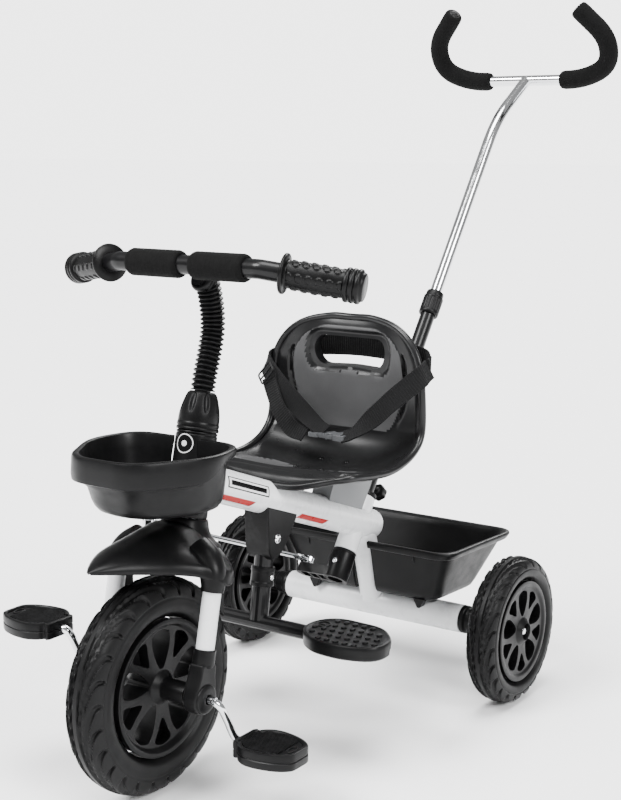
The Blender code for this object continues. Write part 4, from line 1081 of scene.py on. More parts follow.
def front_basket():
    """Tub with a deep rolled lip in front, open at the rear round the steering column."""
    def loop(grow, z, depth, lip=0.0):
        points = tray_loop(0.046 - 0.004 * depth + grow, 0.094 - 0.014 * depth + grow,
                           0.078 - 0.010 * depth + grow, -0.078 + 0.022 * depth - grow,
                           0.006 + 0.004 * depth, 0.076 - 0.006 * depth + grow, z, 0.030)
        for point in points:
            near = 1.0 - ramp(point.y - AXLE.y, -0.012, 0.044)
            point.z += lip * (0.0075 - 0.0190 * near)
            flare = 0.0022 * lip * near
            point.x += math.copysign(flare, point.x)
            point.y -= flare
        return points

    loops = [loop(-0.0200, 0.3290, 1.0), loop(-0.0120, 0.3298, 1.0), loop(-0.0070, 0.3322, 1.0),
             loop(-0.0045, 0.3372, 0.96), loop(-0.0036, 0.3440, 0.86), loop(-0.0052, 0.3600, 0.5),
             loop(-0.0064, 0.3760, 0.2, 0.85), loop(-0.0062, 0.3800, 0.18, 1.0),
             loop(-0.0020, 0.3806, 0.13, 1.0), loop(-0.0004, 0.3816, 0.11, 1.0),
             loop(0.0, 0.3850, 0.07, 0.8), loop(0.0, 0.3910, 0.03, 0.4), loop(0.0, 0.3955, 0.0),
             loop(-0.0008, 0.3978, 0.0), loop(-0.0024, 0.3988, 0.0), loop(-0.0044, 0.3988, 0.0),
             loop(-0.0062, 0.3978, 0.0), loop(-0.0070, 0.3945, 0.03), loop(-0.0080, 0.3820, 0.2),
             loop(-0.0070, 0.3480, 0.8), loop(-0.0078, 0.3400, 0.92), loop(-0.0110, 0.3345, 1.0),
             loop(-0.0200, 0.3335, 1.0)]
    basket = publish(loft(bmesh.new(), loops), "front_basket_tub", "root", "black_plastic",
                     replaces=("front_basket",), sharp=50.0)
    column = HEAD + 0.0905 * HEAD_AXIS
    wide, floor = 0.0252, 0.30
    ring = []
    for i in range(25):
        angle = math.pi * i / 24
        ring.append(Vector((wide * math.cos(angle), column.y - wide * math.sin(angle), floor)))
    ring += [Vector((-wide, column.y + 0.2, floor)), Vector((wide, column.y + 0.2, floor))]
    lean = HEAD_AXIS * (0.14 / HEAD_AXIS.z)
    shift = HEAD_AXIS * ((floor - column.z) / HEAD_AXIS.z)
    slot = [point + Vector((0.0, shift.y, 0.0)) for point in ring]
    carve(basket, [bare(slab(slot, lean), "column_slot")])
    soften(basket, 0.0007, 2)
    slot_wall(column)


def slot_wall(column):
    """Wall round the column's slot: low in front of the column and full height beside it."""
    lean = HEAD_AXIS.y / HEAD_AXIS.z
    inner, outer = 0.0254, 0.0274
    path = [(1.0, 0.006)]
    path += [(math.cos(a), -math.sin(a)) for a in [math.pi * i / 24 for i in range(25)]]
    path += [(-1.0, 0.006)]
    loops = []
    for a, b in path:
        back = b * inner if abs(b) <= 1.0 and abs(a) < 1.0 else b
        height = 0.3460 + 0.0460 * ramp(back, -0.014, 0.010)
        loop = []
        for size, z in ((inner, 0.3325), (outer, 0.3325), (outer, height - 0.001),
                        (outer - 0.0006, height), (inner + 0.0006, height),
                        (inner, height - 0.001)):
            y = b * size if abs(a) < 1.0 else b
            point = Vector((a * size, column.y + y + (z - column.z) * lean, z))
            loop.append(point)
        loops.append(loop)
    publish(loft(bmesh.new(), loops), "basket_slot_wall", "root", "black_plastic")


def rear_basket():
    """Wide tub with a flanged rim, a notch round the post and two hooks over the axle tube."""
    def loop(grow, z, depth):
        return tray_loop(0.137 - 0.030 * depth + grow, 0.5 * (0.285 - 0.064 * depth) + grow,
                         0.148 - 0.034 * depth + grow, 0.436 + 0.018 * depth - grow, 0.520,
                         0.594 - 0.030 * depth + grow, z, 0.026)

    loops = [loop(-0.0080, 0.1185, 1.0), loop(-0.0030, 0.1192, 1.0), loop(0.0, 0.1220, 0.98),
             loop(0.0006, 0.1300, 0.86), loop(0.0, 0.1840, 0.12), loop(0.0004, 0.1858, 0.10),
             loop(0.0020, 0.1864, 0.10), loop(0.0062, 0.1864, 0.10), loop(0.0070, 0.1874, 0.09),
             loop(0.0071, 0.1930, 0.0), loop(0.0066, 0.1954, 0.0), loop(0.0052, 0.1964, 0.0),
             loop(0.0030, 0.1965, 0.0), loop(0.0004, 0.1960, 0.0), loop(-0.0016, 0.1948, 0.0),
             loop(-0.0026, 0.1925, 0.03), loop(-0.0030, 0.1860, 0.12), loop(-0.0030, 0.1280, 0.94),
             loop(-0.0040, 0.1235, 0.98), loop(-0.0100, 0.1215, 1.0)]
    basket = publish(loft(bmesh.new(), loops), "rear_basket_tub", "root", "black_plastic",
                     replaces=("rear_basket",))
    low, high = at(-0.0165, 0.400, 0.100), at(0.0165, 0.492, 0.230)
    carve(basket, [bare(box(low, high), "post_notch")])
    soften(basket, 0.0007, 2)
    for side, label in SIDES:
        corners = [(-0.0090, 0.1212), (0.0090, 0.1212), (0.0022, 0.1085), (-0.0022, 0.1085)]
        outline = [at(side * 0.085 + x, 0.4530, z) for x, z in corners]
        hook = publish(slab(fillet(outline, 0.0012, 3, closed=True), 0.0100 * Y),
                       f"basket_hook_{label}", "root", "black_plastic")
        carve(hook, [drill("tube_bore", [rear_point(-0.15), rear_point(0.15)],
                           0.0191)])
        soften(hook, 0.0005, 2)
        rib = [at(side * 0.085 - 0.0012, y, z)
               for y, z in ((0.4470, 0.1640), (0.4440, 0.1840), (0.4375, 0.1845), (0.4375, 0.1780))]
        soften(publish(slab(rib, 0.0024 * X), f"basket_rib_{label}", "root", "black_plastic"),
               0.0004, 1)


# ------------------------------------------------------------------ seat
# Stations from the front lip to the top of the back: middle line (back, up), half width, lift of
# the rim, dip for the thighs and thickness.
SEAT_LINE = [(0.2246, 0.3140), (0.2242, 0.3215), (0.2262, 0.3315), (0.2335, 0.3418),
             (0.2490, 0.3492), (0.285, 0.3395), (0.325, 0.3225), (0.370, 0.318), (0.402, 0.330),
             (0.416, 0.358), (0.412, 0.405), (0.4065, 0.445), (0.4068, 0.4640), (0.4085, 0.4800),
             (0.4115, 0.4920), (0.4150, 0.4990), (0.4180, 0.5025)]
SEAT_HALF = [0.083, 0.092, 0.099, 0.1045, 0.109, 0.113, 0.116, 0.118, 0.119, 0.119, 0.118, 0.114,
             0.106, 0.093, 0.075, 0.053, 0.030]
SEAT_RIM = [-0.014, -0.014, -0.014, -0.014, -0.014, -0.009, 0.007, 0.021, 0.026, 0.022, 0.016,
            0.010, 0.008, 0.007, 0.006, 0.005, 0.004]
SEAT_THIGH = [0.001, 0.003, 0.008, 0.014, 0.018, 0.016, 0.007, 0.002, 0.0, 0.0, 0.0, 0.0, 0.0,
              0.0, 0.0, 0.0, 0.0]
SEAT_THICK = [0.0030, 0.0032, 0.0036, 0.0042, 0.0060, 0.0110, 0.014, 0.014, 0.015, 0.017, 0.020,
              0.021, 0.020, 0.018, 0.016, 0.013, 0.010]
SEAT_RIM_TAPER = 0.45
LIP_END = 0.240                 # how far back the curled lip goes, and its height
LIP_TOP, LIP_HEIGHT = 0.3418, 0.0278


def seat_stations(per_span):
    """Along the seat: centre, sizes (half width, rim lift, thigh dip), thickness and normal."""
    places = smooth_path([at(0.0, y, z) for y, z in SEAT_LINE], per_span)
    sizes = smooth_path([Vector(row) for row in zip(SEAT_HALF, SEAT_RIM, SEAT_THIGH)], per_span)
    thick = smooth_path([Vector((value, 0.0, 0.0)) for value in SEAT_THICK], per_span)
    result = []
    for place, size, depth, way in zip(places, sizes, thick, tangents(places)):
        result.append((place, size, depth.x, Vector((0.0, -way.z, way.y))))
    return result


def seat_top(station, across):
    """One point of the seat's upper skin; across runs from 0 to 1."""
    place, size, _, normal = station
    spread = math.sin((across - 0.5) * math.pi)
    lift = size.y * abs(spread) ** 3 - size.z * math.sin(math.pi * across) ** 2
    rise = 0.0 if place.y > at(0.0, LIP_END, 0.0).y else 0.0090 * ramp(abs(spread), 0.40, 1.0)
    rise *= ramp(LIP_TOP - place.z, 0.0, LIP_HEIGHT)
    return Vector((size.x * spread, place.y, place.z + rise)) + lift * normal


def inside_outline(point, outline):
    inside = False
    for (x0, y0), (x1, y1) in zip(outline, outline[1:] + outline[:1]):
        if (y0 > point[1]) != (y1 > point[1]):
            if point[0] < (x1 - x0) * (point[1] - y0) / (y1 - y0) + x0:
                inside = not inside
    return inside


def outline_distance(point, outline):
    best = 1.0
    for (x0, y0), (x1, y1) in zip(outline, outline[1:] + outline[:1]):
        dx, dy = x1 - x0, y1 - y0
        t = ((point[0] - x0) * dx + (point[1] - y0) * dy) / (dx * dx + dy * dy)
        t = min(max(t, 0.0), 1.0)
        best = min(best, math.hypot(point[0] - x0 - t * dx, point[1] - y0 - t * dy))
    return best if inside_outline(point, outline) else -best


def flat_fillet(points, radius):
    return [(p.x, p.y) for p in fillet([Vector((x, z, 0.0)) for x, z in points], radius, 5, True)]


HANDLE = flat_fillet([(-0.0475, 0.4370), (0.0, 0.4395), (0.0475, 0.4370), (0.0570, 0.4580),
                      (0.0500, 0.4770), (-0.0500, 0.4770), (-0.0570, 0.4580)], 0.012)
HANDLE_RECESS = flat_fillet([(-0.0600, 0.4270), (-0.030, 0.4290), (0.0, 0.4315), (0.030, 0.4290),
                             (0.0600, 0.4270), (0.0700, 0.4570), (0.0600, 0.4870),
                             (-0.0600, 0.4870), (-0.0700, 0.4570)], 0.016)


def side_leaf(side):
    """Leaf-shaped groove up each side of the back panel."""
    points = [(0.0700, 0.3620), (0.0880, 0.3900), (0.0945, 0.4220), (0.0915, 0.4520),
              (0.0830, 0.4650), (0.0865, 0.4420), (0.0870, 0.4160), (0.0810, 0.3920)]
    return flat_fillet([(side * x, z) for x, z in points], 0.006)


BACK_PANEL = flat_fillet([(-0.0600, 0.3540), (0.0600, 0.3540), (0.0790, 0.3850), (0.0860, 0.4200),
                          (0.0850, 0.4480), (0.0740, 0.4740), (0.0460, 0.4900),
                          (-0.0460, 0.4900), (-0.0740, 0.4740), (-0.0850, 0.4480),
                          (-0.0860, 0.4200), (-0.0790, 0.3850)], 0.014)


SIDE_LEAVES = [side_leaf(side) for side in (-1, 1)]
THIGH_OVALS = [[(x + 0.040 * math.cos(a), 0.292 + 0.036 * math.sin(a)) for a in circle(40)]
               for x in (-0.052, 0.052)]


def seat_relief(point, is_back):
    """How deep the upper skin is pressed at one place."""
    x, y, z = point.x, point.y - AXLE.y, point.z
    if is_back:
        press = 0.0050 * ramp(outline_distance((x, z), HANDLE_RECESS), -0.0012, 0.0046)
        for leaf in SIDE_LEAVES:
            press = max(press, 0.0045 * ramp(outline_distance((x, z), leaf), -0.0012, 0.0022))
        inner = ramp(outline_distance((x, z), BACK_PANEL), -0.0010, 0.0012)
        return press - 0.0007 * inner
    press = 0.0
    for oval in THIGH_OVALS:
        press = max(press, 0.0008 * ramp(outline_distance((x, y), oval), -0.0006, 0.0012))
    return press


def seat():
    """Bucket seat: pressed grooves, grained panels, a handle hole, a rolled rim and screws."""
    stations = seat_stations(11)
    columns = 120
    loops = []
    for station in stations:
        place, _, depth, normal = station
        top, under = [], []
        is_back = place.z > 0.345 and place.y - AXLE.y > 0.38
        for i in range(columns + 1):
            across = i / columns
            spread = math.sin((across - 0.5) * math.pi)
            point = seat_top(station, across)
            roll = 0.0030 * ramp(abs(spread), 0.90, 0.995)
            press = seat_relief(point, is_back) * (1.0 - ramp(abs(spread), 0.93, 0.97))
            top.append(point - (press + roll) * normal)
            deep = depth * (1.0 - SEAT_RIM_TAPER * abs(spread) ** 4)
            under.append(point - (deep - 0.6 * roll) * normal)
        loops.append(top + under[::-1])
    shell = publish(loft(bmesh.new(), loops), "seat_shell", "root", "seat_plastic",
                    replaces=("seat",), sharp=50.0)
    shell.data.materials.append(LOOKS["grain"])
    hole = [at(x, 0.30, z) for x, z in HANDLE]
    carve(shell, [bare(slab(hole, 0.25 * Y), "handle_hole")], sharp=50.0)
    soften(shell, 0.0022, 3)
    for polygon in shell.data.polygons:
        centre = polygon.center
        y = centre.y - AXLE.y
        if polygon.normal.y < -0.3 and centre.z > 0.352:
            place = (centre.x, centre.z)
            if outline_distance(place, BACK_PANEL) > 0.0 > outline_distance(place, HANDLE_RECESS):
                polygon.material_index = 1
        if polygon.normal.z > 0.3 and y < 0.36:
            for oval in THIGH_OVALS:
                if outline_distance((centre.x, y), oval) > 0.0:
                    polygon.material_index = 1
    seat_rim(stations)
    seat_screws(stations)


def seat_rim(stations):
    """Rolled rim round the edge of the shell."""
    front = [seat_top(stations[0], i / 24.0) for i in range(24)]
    back = [seat_top(stations[-1], i / 12.0) for i in range(11, 0, -1)]
    left = [seat_top(station, 1.0) - 0.0040 * station[3] for station in stations[1:]]
    right = [seat_top(station, 0.0) - 0.0040 * station[3] for station in stations[:0:-1]]
    path = even_path(front + left + back + right + front[:1], 0.002)[:-1]
    for _ in range(12):
        path = [(path[i - 2] + path[i - 1] + path[i] + path[(i + 1) % len(path)]
                 + path[(i + 2) % len(path)]) / 5.0 for i in range(len(path))]
    publish(sweep(path + path[:1], 0.0048, 20), "seat_rim", "root", "seat_plastic")


def seat_screws(stations):
    pan = stations[:95]
    for x, y in ((-0.020, 0.318), (0.020, 0.318), (-0.020, 0.372), (0.020, 0.372)):
        station = min(pan, key=lambda s, y=y: abs(s[0].y - AXLE.y - y))
        across = math.asin(x / station[1].x) / math.pi + 0.5
        centre = seat_top(station, across) - 0.0004 * station[3]
        screw_head(f"seat_screw_{'l' if x > 0 else 'r'}_{int(y * 1000)}", centre, station[3],
                   "root", 0.0036, "black_steel")


# ------------------------------------------------------------------ stem, handlebar and grips
NUT_TOP = 0.1520


def stem():
    """Corrugated sleeve round the stem, from the hand nut up to the handlebar."""
    start = HEAD + (NUT_TOP + 0.0012) * HEAD_AXIS
    keys = [start, HEAD + (NUT_TOP + 0.0160) * HEAD_AXIS, at(0.0, 0.1205, 0.5200),
            at(0.0, 0.1130, 0.5690), at(0.0, 0.0985, 0.5782)]
    pitch = 0.0056
    step = pitch / 8.0
    path = even_path(smooth_path(keys, 16), step)

    def rib(i):
        wave = 0.5 + 0.5 * math.cos(2.0 * math.pi * i * step / pitch)
        return 0.0112 + 0.0034 * wave ** 0.7

    publish(sweep(path, rib, 48, bore=0.0098), "bellows_ribbed", "fork", "black_plastic",
            replaces=("stem_bellows",), sharp=70.0)
    soften(frame["nodes"]["handlebar_stem"], 0.0006, 1)


BAR_KEYS = ((0.0, 0.0772, 0.5952), (0.100, 0.0772, 0.5952), (0.206, 0.1170, 0.5782))


def bar_point(side, x):
    """Centre of the handlebar at a distance from the middle."""
    low, bend, end = (Vector(key) for key in BAR_KEYS)
    if x <= bend.x:
        point = low.lerp(bend, x / bend.x)
    else:
        point = bend.lerp(end, (x - bend.x) / (end.x - bend.x))
    return at(side * point.x, point.y, point.z)


def bar_way(side):
    return (bar_point(side, 0.206) - bar_point(side, 0.120)).normalized()


def handlebar():
    middle_part = [bar_point(-1, 0.206), bar_point(-1, 0.108)]
    corner = [bar_point(1, 0.092), bar_point(1, 0.100), bar_point(1, 0.108)]
    bend = fillet(corner, 0.009, 6)
    mirrored = [Vector((-p.x, p.y, p.z)) for p in bend[::-1]]
    path = middle_part[:1] + mirrored + [bar_point(1, 0.0)] + bend + [bar_point(1, 0.206)]
    publish(sweep(path, 0.0110, 48), "handlebar_round", "fork", "black_steel",
            replaces=("handlebar",))
    for side, label in SIDES:
        bar_foam(side, label)
        grip(side, label)


def foam_sleeve(path, radius, name, body, node, bore):
    """Foam sleeve with rounded ends, very slightly uneven."""
    count = len(path)

    def size(i):
        end = min(i, count - 1 - i)
        edge = 0.0032 * (1.0 - math.sqrt(max(0.0, 1.0 - (1.0 - min(end / 5.0, 1.0)) ** 2)))
        return radius - edge + 0.00012 * math.sin(1.7 * i) * math.sin(0.45 * i)

    bm = sweep(path, size, 64, bore=bore)
    piece = publish(bm, name, body, "foam", replaces=(node,), sharp=60.0)


def bar_foam(side, label):
    start, end = bar_point(side, 0.009), bar_point(side, 0.083)
    steps = 70
    path = [start.lerp(end, i / steps) for i in range(steps + 1)]
    foam_sleeve(path, 0.0159, f"bar_foam_{label}_sleeve", "fork", f"bar_foam_{label}", 0.0111)


def grip(side, label):
    """Moulded grip: thin hand guard, two rows of raised ovals and a ringed end."""
    start = at(side * 0.1240, 0.0862, 0.5914)
    way = bar_way(side)
    profile = [(0.0112, 0.0), (0.0214, 0.0), (0.0223, 0.0008), (0.0226, 0.0022), (0.0223, 0.0036),
               (0.0214, 0.0044), (0.0172, 0.0048), (0.0158, 0.0056), (0.0152, 0.0072)]
    for i in range(100):
        height = 0.0080 + 0.0620 * i / 99
        profile.append((0.0150 + 0.0012 * math.sin(math.pi * height / 0.078), height))
    for ring in range(3):
        base = 0.0706 + 0.0062 * ring
        profile += [(0.0166, base), (0.0184, base + 0.0004), (0.0190, base + 0.0016),
                    (0.0190, base + 0.0036), (0.0184, base + 0.0048), (0.0166, base + 0.0054)]
    profile += [(0.0158, 0.0900), (0.0152, 0.0916), (0.0136, 0.0924), (0.0, 0.0925)]

    def studded(angle, radius, height):
        if not 0.0085 < height < 0.0695:
            return radius
        size = radius
        for row in range(6):
            centre = math.radians(60.0 * row)
            pitch = 0.0116
            offset = 0.5 * pitch * (row % 2)
            along = (height - 0.0100 - offset) / pitch
            near = abs(along - math.floor(along) - 0.5) * pitch
            turn = (angle - centre + math.pi) % (2.0 * math.pi) - math.pi
            across = abs(turn) * radius
            off = math.hypot(near / 0.0044, across / 0.0050)
            size = max(size, radius + 0.0013 * (1.0 - ramp(off, 0.72, 1.05)))
        return size

    bm = lathe(profile, start, way, 168, shape=studded)
    publish(bm, f"grip_{label}_moulded", "fork", "grip", replaces=(f"grip_{label}",), sharp=50.0)


# ------------------------------------------------------------------ pedals and crank
def pedal_centre(side):
    """Where a pedal turns on its spindle."""
    return joint_at("pedal_left_spin" if side > 0 else "pedal_right_spin")


def crank():
    """Chromed rod through the wheel, bent twice on each side."""
    points = []
    for side in (-1, 1):
        spindle = pedal_centre(side)
        arm = Vector((0.0, spindle.y - AXLE.y, spindle.z - AXLE.z))
        line = [AXLE + side * x * X + t * arm
                for x, t in ((0.0800, 0.0), (0.0880, 0.004), (0.0940, 0.060), (0.0980, 0.20),
                             (0.0985, 0.50), (0.0975, 0.78), (0.0988, 0.93), (0.1030, 0.995),
                             (0.1078, 1.0))]
        points += line[::-1] if side < 0 else line
    path = smooth_path(points, 5)
    publish(sweep(path, 0.0045, 32), "crank_rod", "front_wheel", "chrome",
            replaces=("pedal_crank",))


def pedal_outline(half, low, high):
    """Leaf shape: waist at the inner end, full in the middle, narrow at the outer end."""
    marks = [(0.00, 0.56), (0.035, 0.66), (0.09, 0.62), (0.16, 0.82), (0.32, 1.0), (0.55, 0.99),
             (0.78, 0.84), (0.91, 0.66), (0.97, 0.52), (0.995, 0.38), (1.0, 0.20)]
    upper = [(low + (high - low) * t, half * size) for t, size in marks]
    curve = smooth_path([Vector((x, y, 0.0)) for x, y in upper], 5)
    back = [Vector((p.x, -p.y, 0.0)) for p in reversed(curve)]
    return [(p.x, p.y) for p in curve + back]


def pedal(side, label):
    """Pedal block with a raised rim, fine ridges inside it and an oval ring outboard."""
    node = f"pedal_{label}"
    low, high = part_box(node)
    inner = min(abs(low[0]), abs(high[0]))
    outer = max(abs(low[0]), abs(high[0]))
    half = (high[1] - low[1]) / 2
    centre = pedal_centre(side)
    outline = pedal_outline(half, inner, outer)

    def ring(shrink, z):
        """The outline pulled inward, at one height."""
        points = []
        mid_x = 0.5 * (inner + outer)
        grow_x = 1.0 - shrink / (0.5 * (outer - inner))
        grow_y = 1.0 - shrink / half
        for x, y in outline:
            points.append(Vector((side * (mid_x + (x - mid_x) * grow_x), centre.y + y * grow_y,
                                  centre.z + z)))
        return points

    loops = []
    for shrink, z in ((0.0052, -0.0070), (0.0044, -0.0092), (0.0036, -0.0098), (0.0016, -0.0098),
                      (0.0004, -0.0092), (0.0, -0.0080), (0.0, -0.0012), (0.0008, -0.0004),
                      (0.0008, 0.0004), (0.0, 0.0012), (0.0, 0.0080), (0.0004, 0.0092),
                      (0.0016, 0.0098), (0.0036, 0.0098), (0.0044, 0.0092), (0.0052, 0.0070)):
        loops.append(ring(shrink, z))
    body = publish(loft(bmesh.new(), loops), f"{node}_block", node, "black_plastic",
                   replaces=(node,), sharp=40.0)
    start = Vector((side * (inner - 0.002), centre.y, centre.z))
    carve(body, [drill("spindle_hole", [start, start + side * 0.004 * X], 0.0046, 24)])
    pedal_ridges(node, side, centre, outline, half, outer)
    for flip, way in ((1, "top"), (-1, "under")):
        rim_line = []
        for a in circle(40):
            rim_line.append(Vector((side * (outer - 0.0115) + 0.0042 * math.cos(a),
                                    centre.y + 0.0085 * math.sin(a), centre.z + flip * 0.0074)))
        publish(sweep(rim_line + rim_line[:1], 0.0010, 10), f"{node}_dimple_{way}", node,
                "black_plastic", sharp=70.0)


def pedal_ridges(node, side, centre, outline, half, outer):
    """Fine ridges along the pedal, above and below, as far as the rim leaves them room."""
    bm = bmesh.new()
    pitch = 0.0026
    for i in range(int(2 * half / pitch)):
        y = -half + (i + 0.5) * pitch
        xs = sorted(x for x, edge in outline if edge >= abs(y) + 0.0050)
        if not xs or xs[-1] - xs[0] < 0.008:
            continue
        x0, x1 = xs[0] + 0.003, min(xs[-1] - 0.001, outer - 0.018)
        if x1 - x0 < 0.006:
            continue
        for flip in (1, -1):
            corners = [(-0.00075, 0.0065), (-0.00045, 0.0088), (0.00045, 0.0088),
                       (0.00075, 0.0065)]
            profile = [Vector((side * x0, centre.y + y + a, centre.z + flip * b))
                       for a, b in corners]
            slab(profile, side * (x1 - x0) * X, bm)
    publish(bm, f"{node}_ridges", node, "black_plastic")


def pedals():
    crank()
    for side, label in SIDES:
        pedal(side, label)


# ------------------------------------------------------------------ footrest
POST_TOP = at(0.0, 0.2217, 0.2476)
CROSS_TUBE = at(0.0, 0.2050, 0.1420)
FOOTPLATE_LINE = [(0.0790, 0.1850), (0.0790, 0.2170), (0.1000, 0.2400), (0.1660, 0.2380),
                  (0.1990, 0.2020), (0.1970, 0.1660), (0.1560, 0.1500), (0.1080, 0.1540)]
DISH_X, DISH_Y = 0.0965, 0.2080


def footrest():
    down = (CROSS_TUBE - POST_TOP).normalized()
    soften(frame["nodes"]["footrest_post"], 0.0010, 2)
    turned("footrest_sleeve_round", "footrest", "black_plastic",
           [(0.0123, 0.0370), (0.0150, 0.0370), (0.0150, 0.0425), (0.0144, 0.0432),
            (0.0144, 0.0552), (0.0150, 0.0560), (0.0150, 0.0610), (0.0123, 0.0610)],
           POST_TOP, down, 64, 0.0006, 2, replaces=("footrest_sleeve",))
    screw_head("sleeve_screw", POST_TOP + 0.049 * down + 0.0142 * X, X, "footrest", 0.0036)
    for side, label in SIDES:
        footplate(side, label)


def footplate(side, label):
    """Plate with a thick skirt, studs, and a round dish with a small pointer."""
    node = f"footplate_{label}"
    outline = flat_fillet([(side * x, y) for x, y in FOOTPLATE_LINE], 0.020)

    def ring(shrink, z):
        centre_x, centre_y = side * 0.139, 0.196
        points = []
        for x, y in outline:
            length = math.hypot(x - centre_x, y - centre_y)
            pull = 1.0 - shrink / length
            points.append(at(centre_x + (x - centre_x) * pull, centre_y + (y - centre_y) * pull, z))
        return points

    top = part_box(node)[1][2]
    base = top - 0.0180
    loops = [ring(0.0200, base + 0.0100), ring(0.0034, base + 0.0100), ring(0.0030, base),
             ring(0.0020, base), ring(0.0, base + 0.0020), ring(-0.0002, base + 0.0120),
             ring(0.0004, top - 0.0022), ring(0.0014, top - 0.0010), ring(0.0034, top - 0.0006),
             ring(0.0044, top - 0.0012), ring(0.0056, top - 0.0020), ring(0.0200, top - 0.0020)]
    plate = publish(loft(bmesh.new(), loops), f"{node}_plate", "footrest", "black_plastic",
                    replaces=(node,))
    carve(plate, [drill("tube_bore", [CROSS_TUBE - 0.3 * X, CROSS_TUBE + 0.3 * X], 0.0094, 48)])
    footplate_studs(node, side, outline, top)
    dish = at(side * DISH_X, DISH_Y, top - 0.0022)
    turned(f"{node}_dish", "footrest", "black_plastic",
           [(0.0072, 0.0), (0.0098, 0.0), (0.0094, 0.0016), (0.0076, 0.0016)], dish, Z, 40,
           0.0005, 2)
    pointer = [dish + 0.0042 * Vector((math.cos(a), math.sin(a), 0.0))
               for a in (math.pi / 2, math.pi * 7 / 6, math.pi * 11 / 6)]
    publish(slab(pointer, 0.0012 * Z), f"{node}_pointer", "footrest", "black_plastic")


def footplate_studs(node, side, outline, top):
    """Raised ovals in staggered rows, clear of the plate's edge and of the dish."""
    bm = bmesh.new()
    for row in range(5):
        y = 0.1640 + 0.0155 * row
        for column in range(8):
            x = 0.0925 + 0.0125 * column + 0.0062 * (row % 2)
            if outline_distance((side * x, y), outline) < 0.0085:
                continue
            if math.hypot(x - DISH_X, y - DISH_Y) < 0.0130:
                continue
            stud = []
            for size, z in ((1.0, -0.0024), (1.0, -0.0010), (0.86, -0.0001), (0.55, 0.0001)):
                stud.append([at(side * x + 0.0034 * size * math.cos(a),
                                y + 0.0044 * size * math.sin(a), top + z)
                             for a in circle(20)])
            loft(bm, stud)
    publish(bm, f"{node}_studs", "footrest", "black_plastic")


# ------------------------------------------------------------------ steering rod and rear lever
def linkage():
    """Ferrule and lock nut at each end of the steering rod, and the lever behind it."""
    rear, front = at(-0.0500, 0.3893, 0.1699), at(-0.0640, 0.0740, 0.2893)
    soften(frame["nodes"]["steering_rod"], 0.0006, 1)
    way = (front - rear).normalized()
    for name, centre, sign in (("rod_ferrule_rear", rear, 1.0), ("rod_ferrule_front", front, -1.0)):
        turned(name, "steering_rod", "chrome",
               [(0.0030, 0.0075), (0.0043, 0.0075), (0.0045, 0.0085), (0.0045, 0.0215),
                (0.0040, 0.0225), (0.0030, 0.0225)], centre, way * sign, 28, 0.0004, 2)
        turned(f"{name}_nut", "steering_rod", "chrome",
               [(0.0030, 0.0226), (0.0052, 0.0226), (0.0052, 0.0256), (0.0030, 0.0256)],
               centre, way * sign, 48, sharp=25.0,
               shape=lambda angle, radius, height: six_flats(angle, radius, 0.0046))
    rear_lever()


def rear_lever():
    """Housing on the pole's foot, and its boxed arm with ribs in the open underside."""
    body = JOINTS["pole_turn"]["child"]
    forward = square_to(POLE_AXIS, -Y)
    turned("lever_housing", body, "black_plastic",
           [(0.0107, -0.0420), (0.0165, -0.0420), (0.0165, -0.0048), (0.0158, -0.0040),
            (0.0158, -0.0030), (0.0165, -0.0022), (0.0165, -0.0010), (0.0107, -0.0010)],
           POLE, POLE_AXIS, 72, 0.0006, 2, replaces=("steering_lever_rear",))
    low = POLE - 0.0420 * POLE_AXIS
    marks = [(0.0135 * math.cos(a), 0.0165 * math.sin(a))
             for a in [math.radians(t) for t in range(-80, 81, 10)]]
    marks += [(-0.0500 + 0.0115 * math.cos(a), 0.0105 * math.sin(a))
              for a in [math.radians(t) for t in range(95, 266, 10)]]
    outline = [low + a * X + b * forward for a, b in marks]
    arm = publish(slab(outline, 0.0130 * POLE_AXIS), "lever_arm", body, "black_plastic")
    tools = []
    for start, end in ((-0.0520, -0.0400), (-0.0376, -0.0270), (-0.0246, -0.0150)):
        near, far = 0.0078, 0.0088
        corners = [(start, -near), (end, -far), (end, far), (start, near)]
        pocket = [low - 0.002 * POLE_AXIS + a * X + b * forward for a, b in corners]
        tools.append(bare(slab(fillet(pocket, 0.0015, 3, closed=True), 0.0120 * POLE_AXIS),
                          "pocket"))
    tools.append(drill("pole_bore", [low - 0.01 * POLE_AXIS, low + 0.03 * POLE_AXIS], 0.0107, 48))
    carve(arm, tools)
    soften(arm, 0.0010, 2)
    turned("rear_ball_stud", body, "chrome",
           [(0.0, 0.0125), (0.0046, 0.0125), (0.0046, 0.0150), (0.0022, 0.0156),
            (0.0022, 0.0260), (0.0, 0.0262)], low - 0.0500 * X, POLE_AXIS, 32, 0.0004,
           closed=False)
    screw_head("housing_screw", POLE - 0.020 * POLE_AXIS + 0.0162 * forward, forward, body, 0.0036)


# ------------------------------------------------------------------ push pole
COLLAR_BASE = 0.396
KNOB_HEIGHT = 0.101
CROSSBAR = at(0.0, 0.9105, 0.8236)
FOAM_START = 0.060
HORN_UP = Vector((0.0, -0.407, 0.913)).normalized()


def push_pole():
    body = JOINTS["pole_turn"]["child"]
    pole_foot, pole_end = POLE - 0.038 * POLE_AXIS, POLE + COLLAR_BASE * POLE_AXIS
    publish(sweep([pole_foot, pole_foot.lerp(pole_end, 0.5), pole_end], 0.0105, 48, bore=0.0090),
            "pole_lower_tube", body, "black_steel", replaces=("push_pole_lower",))
    turned("socket_ring_round", "root", "black_plastic",
           [(0.0118, 0.0814), (0.0160, 0.0814), (0.0160, 0.0870), (0.0118, 0.0870)],
           POLE, POLE_AXIS, 64, 0.0009, replaces=("socket_ring",))
    collar()
    knob()
    upper_pole()
    push_bar()


